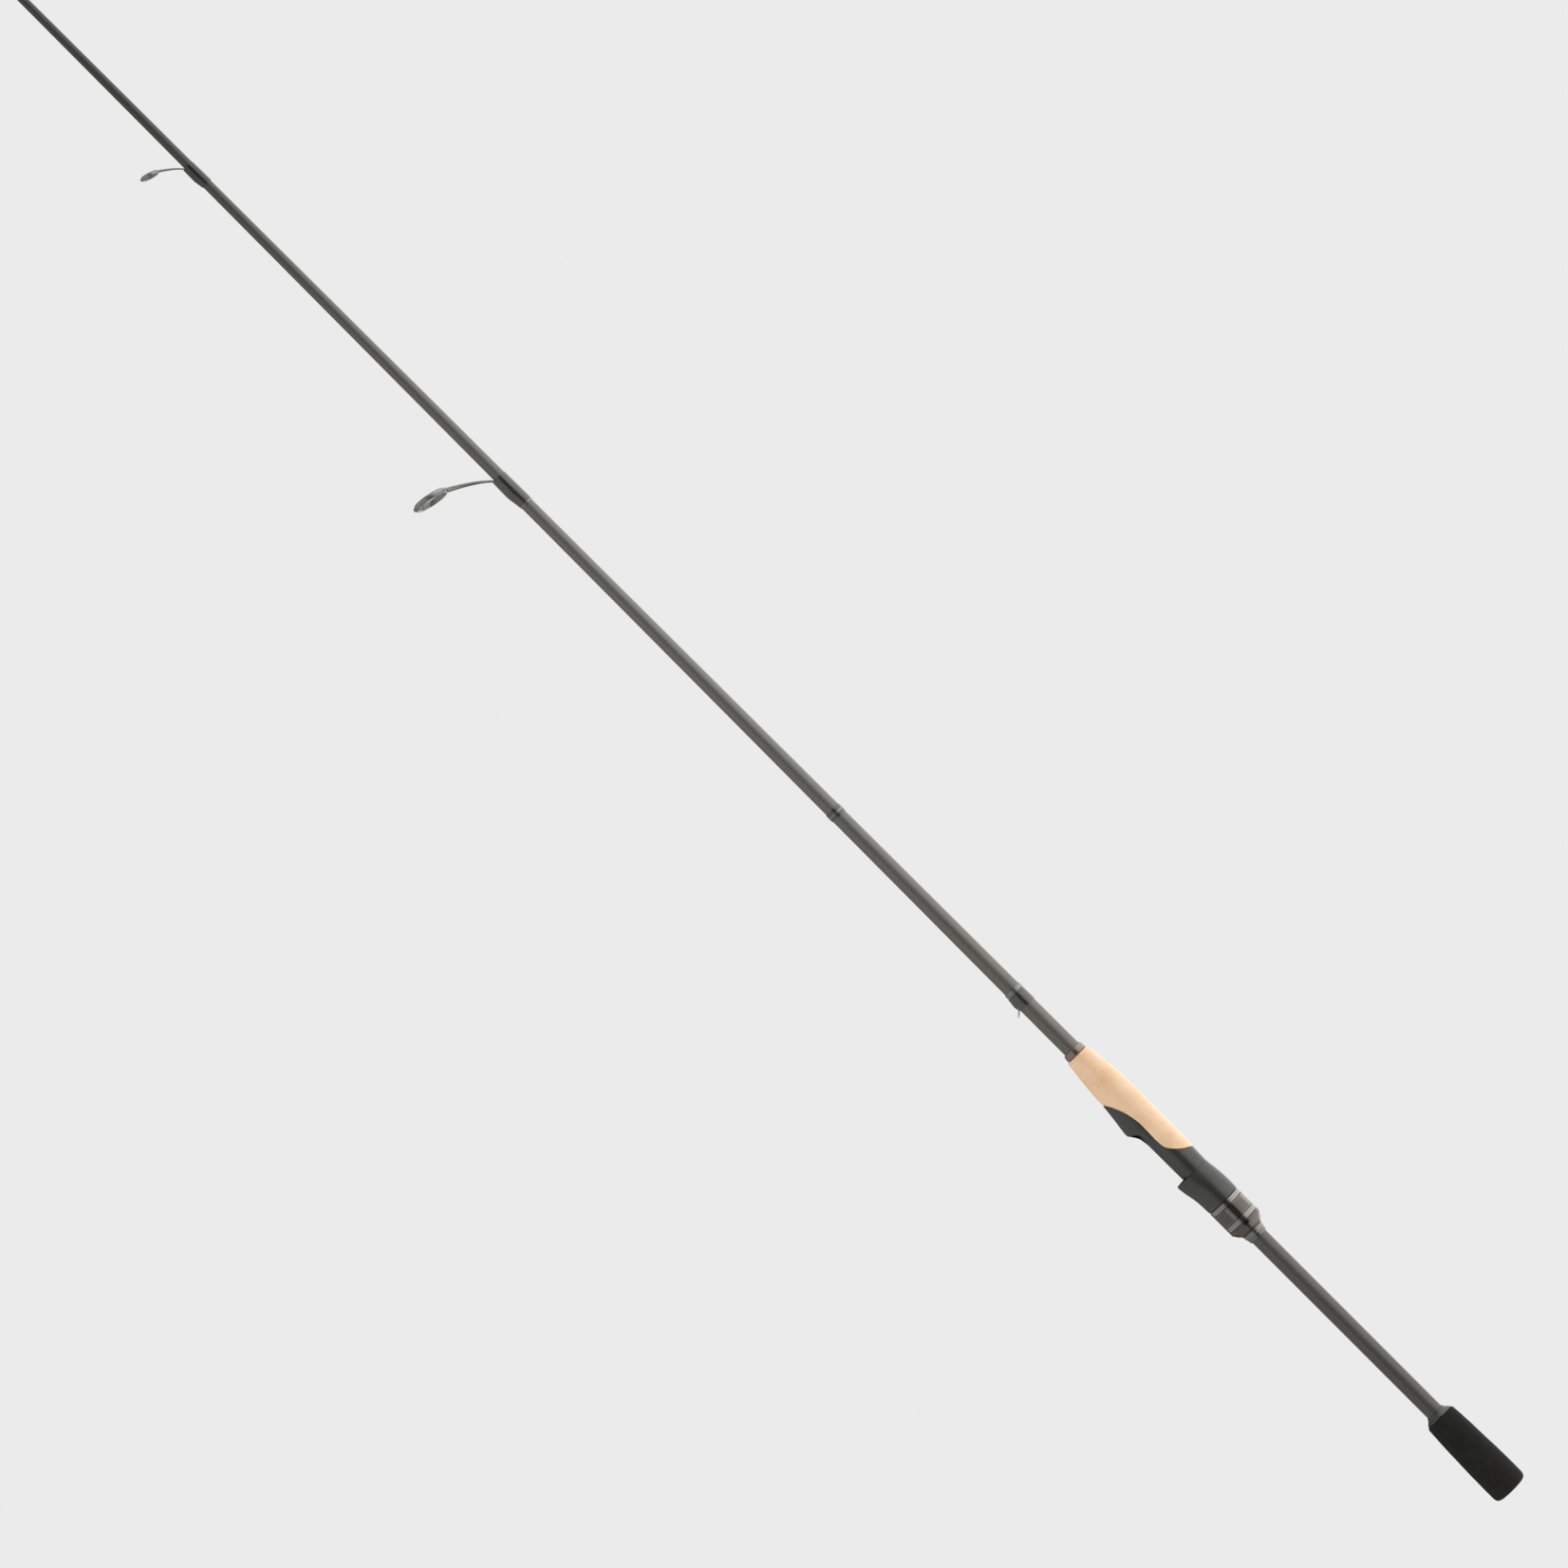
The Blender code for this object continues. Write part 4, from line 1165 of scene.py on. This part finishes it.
def make_tip_top():
    """The ring at the rod's end, on two braces from a tube that caps the blank's tip."""
    x, height, radius, degrees = TIP_RING
    centre, axis, up = lean_frame(x, height, degrees)
    section, wall, half = band_section(radius)
    band = ring_mesh("band", centre, axis, up, section, 72)
    ceramic = ring_mesh("tip_ring", centre, axis, up, ceramic_section(radius, wall, half), 72)
    add_piece("tip_top_ring_fine", ceramic, "rod", "guide_ring", "tip_top_ring")
    tube_radius, start, end = 0.00135, 2.1215, 2.1300
    bore = blank_radius(start) + FINE_GAP
    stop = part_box("blank")[1].x + 0.0003
    outer = [(start, tube_radius), (end, tube_radius), (end + 0.0005, 0.6 * tube_radius)]
    inner = [(end + 0.0005, 0.3 * bore), (stop, 0.3 * bore), (stop, bore), (start, bore)]
    pipe = spin("pipe", soften(vectors(outer + inner), 0.0001, 0.0004), 48)
    pieces = [band, pipe]
    spread = math.radians(95)
    hold = radius - 0.00020
    for side in (-1, 1):
        across = Vector((0.0, 0.0, side))
        root = Vector((start + 0.0012, 0.75 * tube_radius, 0.62 * side * tube_radius))
        tip = centre - hold * math.cos(spread) * up + hold * math.sin(spread) * across
        control = 0.5 * (root + tip) - Vector((-0.0012, 0.0010, 0.0))
        points = bezier(root, control, tip, 20)
        pieces.append(tube("brace", points, [0.00032] * len(points), 16))
    mesh = melted("tip_top_frame_fine", 0.00008, *pieces)
    add_piece("tip_top_frame_fine", mesh, "rod", "guide_frame", "tip_top_frame")


make_tip_top()

# CAD pieces that stay as they are get their material
for node, obj in frame["nodes"].items():
    if not obj.hide_render:
        slot = next(p["material_slot"] for p in frame["record"]["subparts"] if p["node"] == node)
        obj.data.materials.clear()
        obj.data.materials.append(LOOKS[slot])
        obj.data.shade_smooth()
        obj.data.set_sharp_from_angle(angle=SHARP)


# ---------------------------------------------------------------- floor, lights and camera


def paint_floor():
    """An even pale tone that gives its own light, so nothing casts a shadow on it."""
    made = bpy.data.materials.new("floor")
    made.use_nodes = True
    inputs = made.node_tree.nodes["Principled BSDF"].inputs
    inputs["Base Color"].default_value = (0.0, 0.0, 0.0, 1.0)
    inputs["Roughness"].default_value = 1.0
    inputs["Specular IOR Level"].default_value = 0.0
    inputs["Emission Color"].default_value = (PALE, PALE, PALE, 1.0)
    inputs["Emission Strength"].default_value = 1.0
    return made


def make_floor():
    """A pale floor that runs far out, just under the rod."""
    low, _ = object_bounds()
    far = FLOOR_REACH
    corners = ((-far, -far), (far, -far), (far, far), (-far, far))
    rows = [[(x, y, z) for x, y in corners] for z in (low.z - 0.02, low.z - 0.0002)]
    mesh = skin("floor", rows, loop=False)
    floor = link("floor", mesh)
    mesh.materials.append(paint_floor())
    for kind in ("diffuse", "glossy", "transmission", "shadow"):
        setattr(floor, "visible_" + kind, False)


make_floor()


def make_studio():
    """A light tent that changes only round the rod's axis: strong on the side away from the guides,
    weaker on their side, with a dark slot between them straight above the rod."""
    world = bpy.data.worlds.new("studio")
    bpy.context.scene.world = world
    world.use_nodes = True
    tree = world.node_tree

    def math_node(operation, *values):
        inputs = dict(enumerate(values))
        return add_node(tree, "ShaderNodeMath", inputs, operation=operation).outputs[0]

    direction = add_node(tree, "ShaderNodeTexCoord").outputs[0]
    _, y, z = add_node(tree, "ShaderNodeSeparateXYZ", {0: direction}).outputs
    turns = math_node("MULTIPLY_ADD", math_node("ARCTAN2", y, z), 1 / TURN, 0.5 - STUDIO_TURN / TURN)
    ramp = add_node(tree, "ShaderNodeValToRGB", {0: math_node("FRACT", turns)})
    stops = (  # share of a turn and brightness: 0 is straight below, 0.25 the strong side, 0.5 above
        (0.00, 0.20),
        (0.05, 1.20),
        (0.14, 1.60),
        (0.30, 1.45),
        (0.425, 1.10),
        (0.450, 0.06),
        (0.540, 0.06),
        (0.565, 0.58),
        (0.84, 0.60),
        (0.92, 0.15),
        (1.00, 0.20),
    )
    fill_ramp(ramp, stops)
    tree.links.new(ramp.outputs[0], tree.nodes["Background"].inputs["Color"])


make_studio()


def aim(obj, right, up, back):
    obj.rotation_mode = "QUATERNION"
    obj.rotation_quaternion = Matrix((right, up, back)).transposed().to_quaternion()


def add_side_lamp(name, degrees, distance, size, radiance):
    """A soft lamp beside the rod that lifts the matt surfaces and doesn't show in the glossy ones."""
    angle = math.radians(degrees)
    away = Vector((0.0, math.sin(angle), math.cos(angle)))
    light = bpy.data.lights.new(name, "AREA")
    light.shape = "RECTANGLE"
    light.size = 7.0
    light.size_y = size
    light.energy = radiance * math.pi * light.size * light.size_y
    obj = link(name, light)
    obj.location = AIM_X * ALONG + distance * away
    aim(obj, ALONG, away.cross(ALONG), away)
    obj.visible_camera = False
    obj.visible_glossy = False


def add_camera():
    """The camera, rolled a little round the rod, with the rod running across its picture."""
    lens = bpy.data.cameras.new("camera")
    lens.sensor_width = SENSOR
    lens.lens = SENSOR * CAMERA_DISTANCE / FRAME_WIDTH
    lens.clip_start = 0.1
    lens.clip_end = 500.0
    camera = link("camera", lens)
    out = Vector((0.0, math.cos(CAMERA_ROLL), -math.sin(CAMERA_ROLL)))
    back = Vector((0.0, math.sin(CAMERA_ROLL), math.cos(CAMERA_ROLL)))
    right = -math.cos(ROD_SLOPE) * ALONG - math.sin(ROD_SLOPE) * out
    aim(camera, right, back.cross(right), back)
    camera.location = AIM_X * ALONG + AIM_Y * out + CAMERA_DISTANCE * back
    bpy.context.scene.camera = camera


bpy.context.scene.view_settings.view_transform = "Standard"
add_side_lamp("side_lamp", 62, 2.6, 1.8, 0.9)
add_camera()
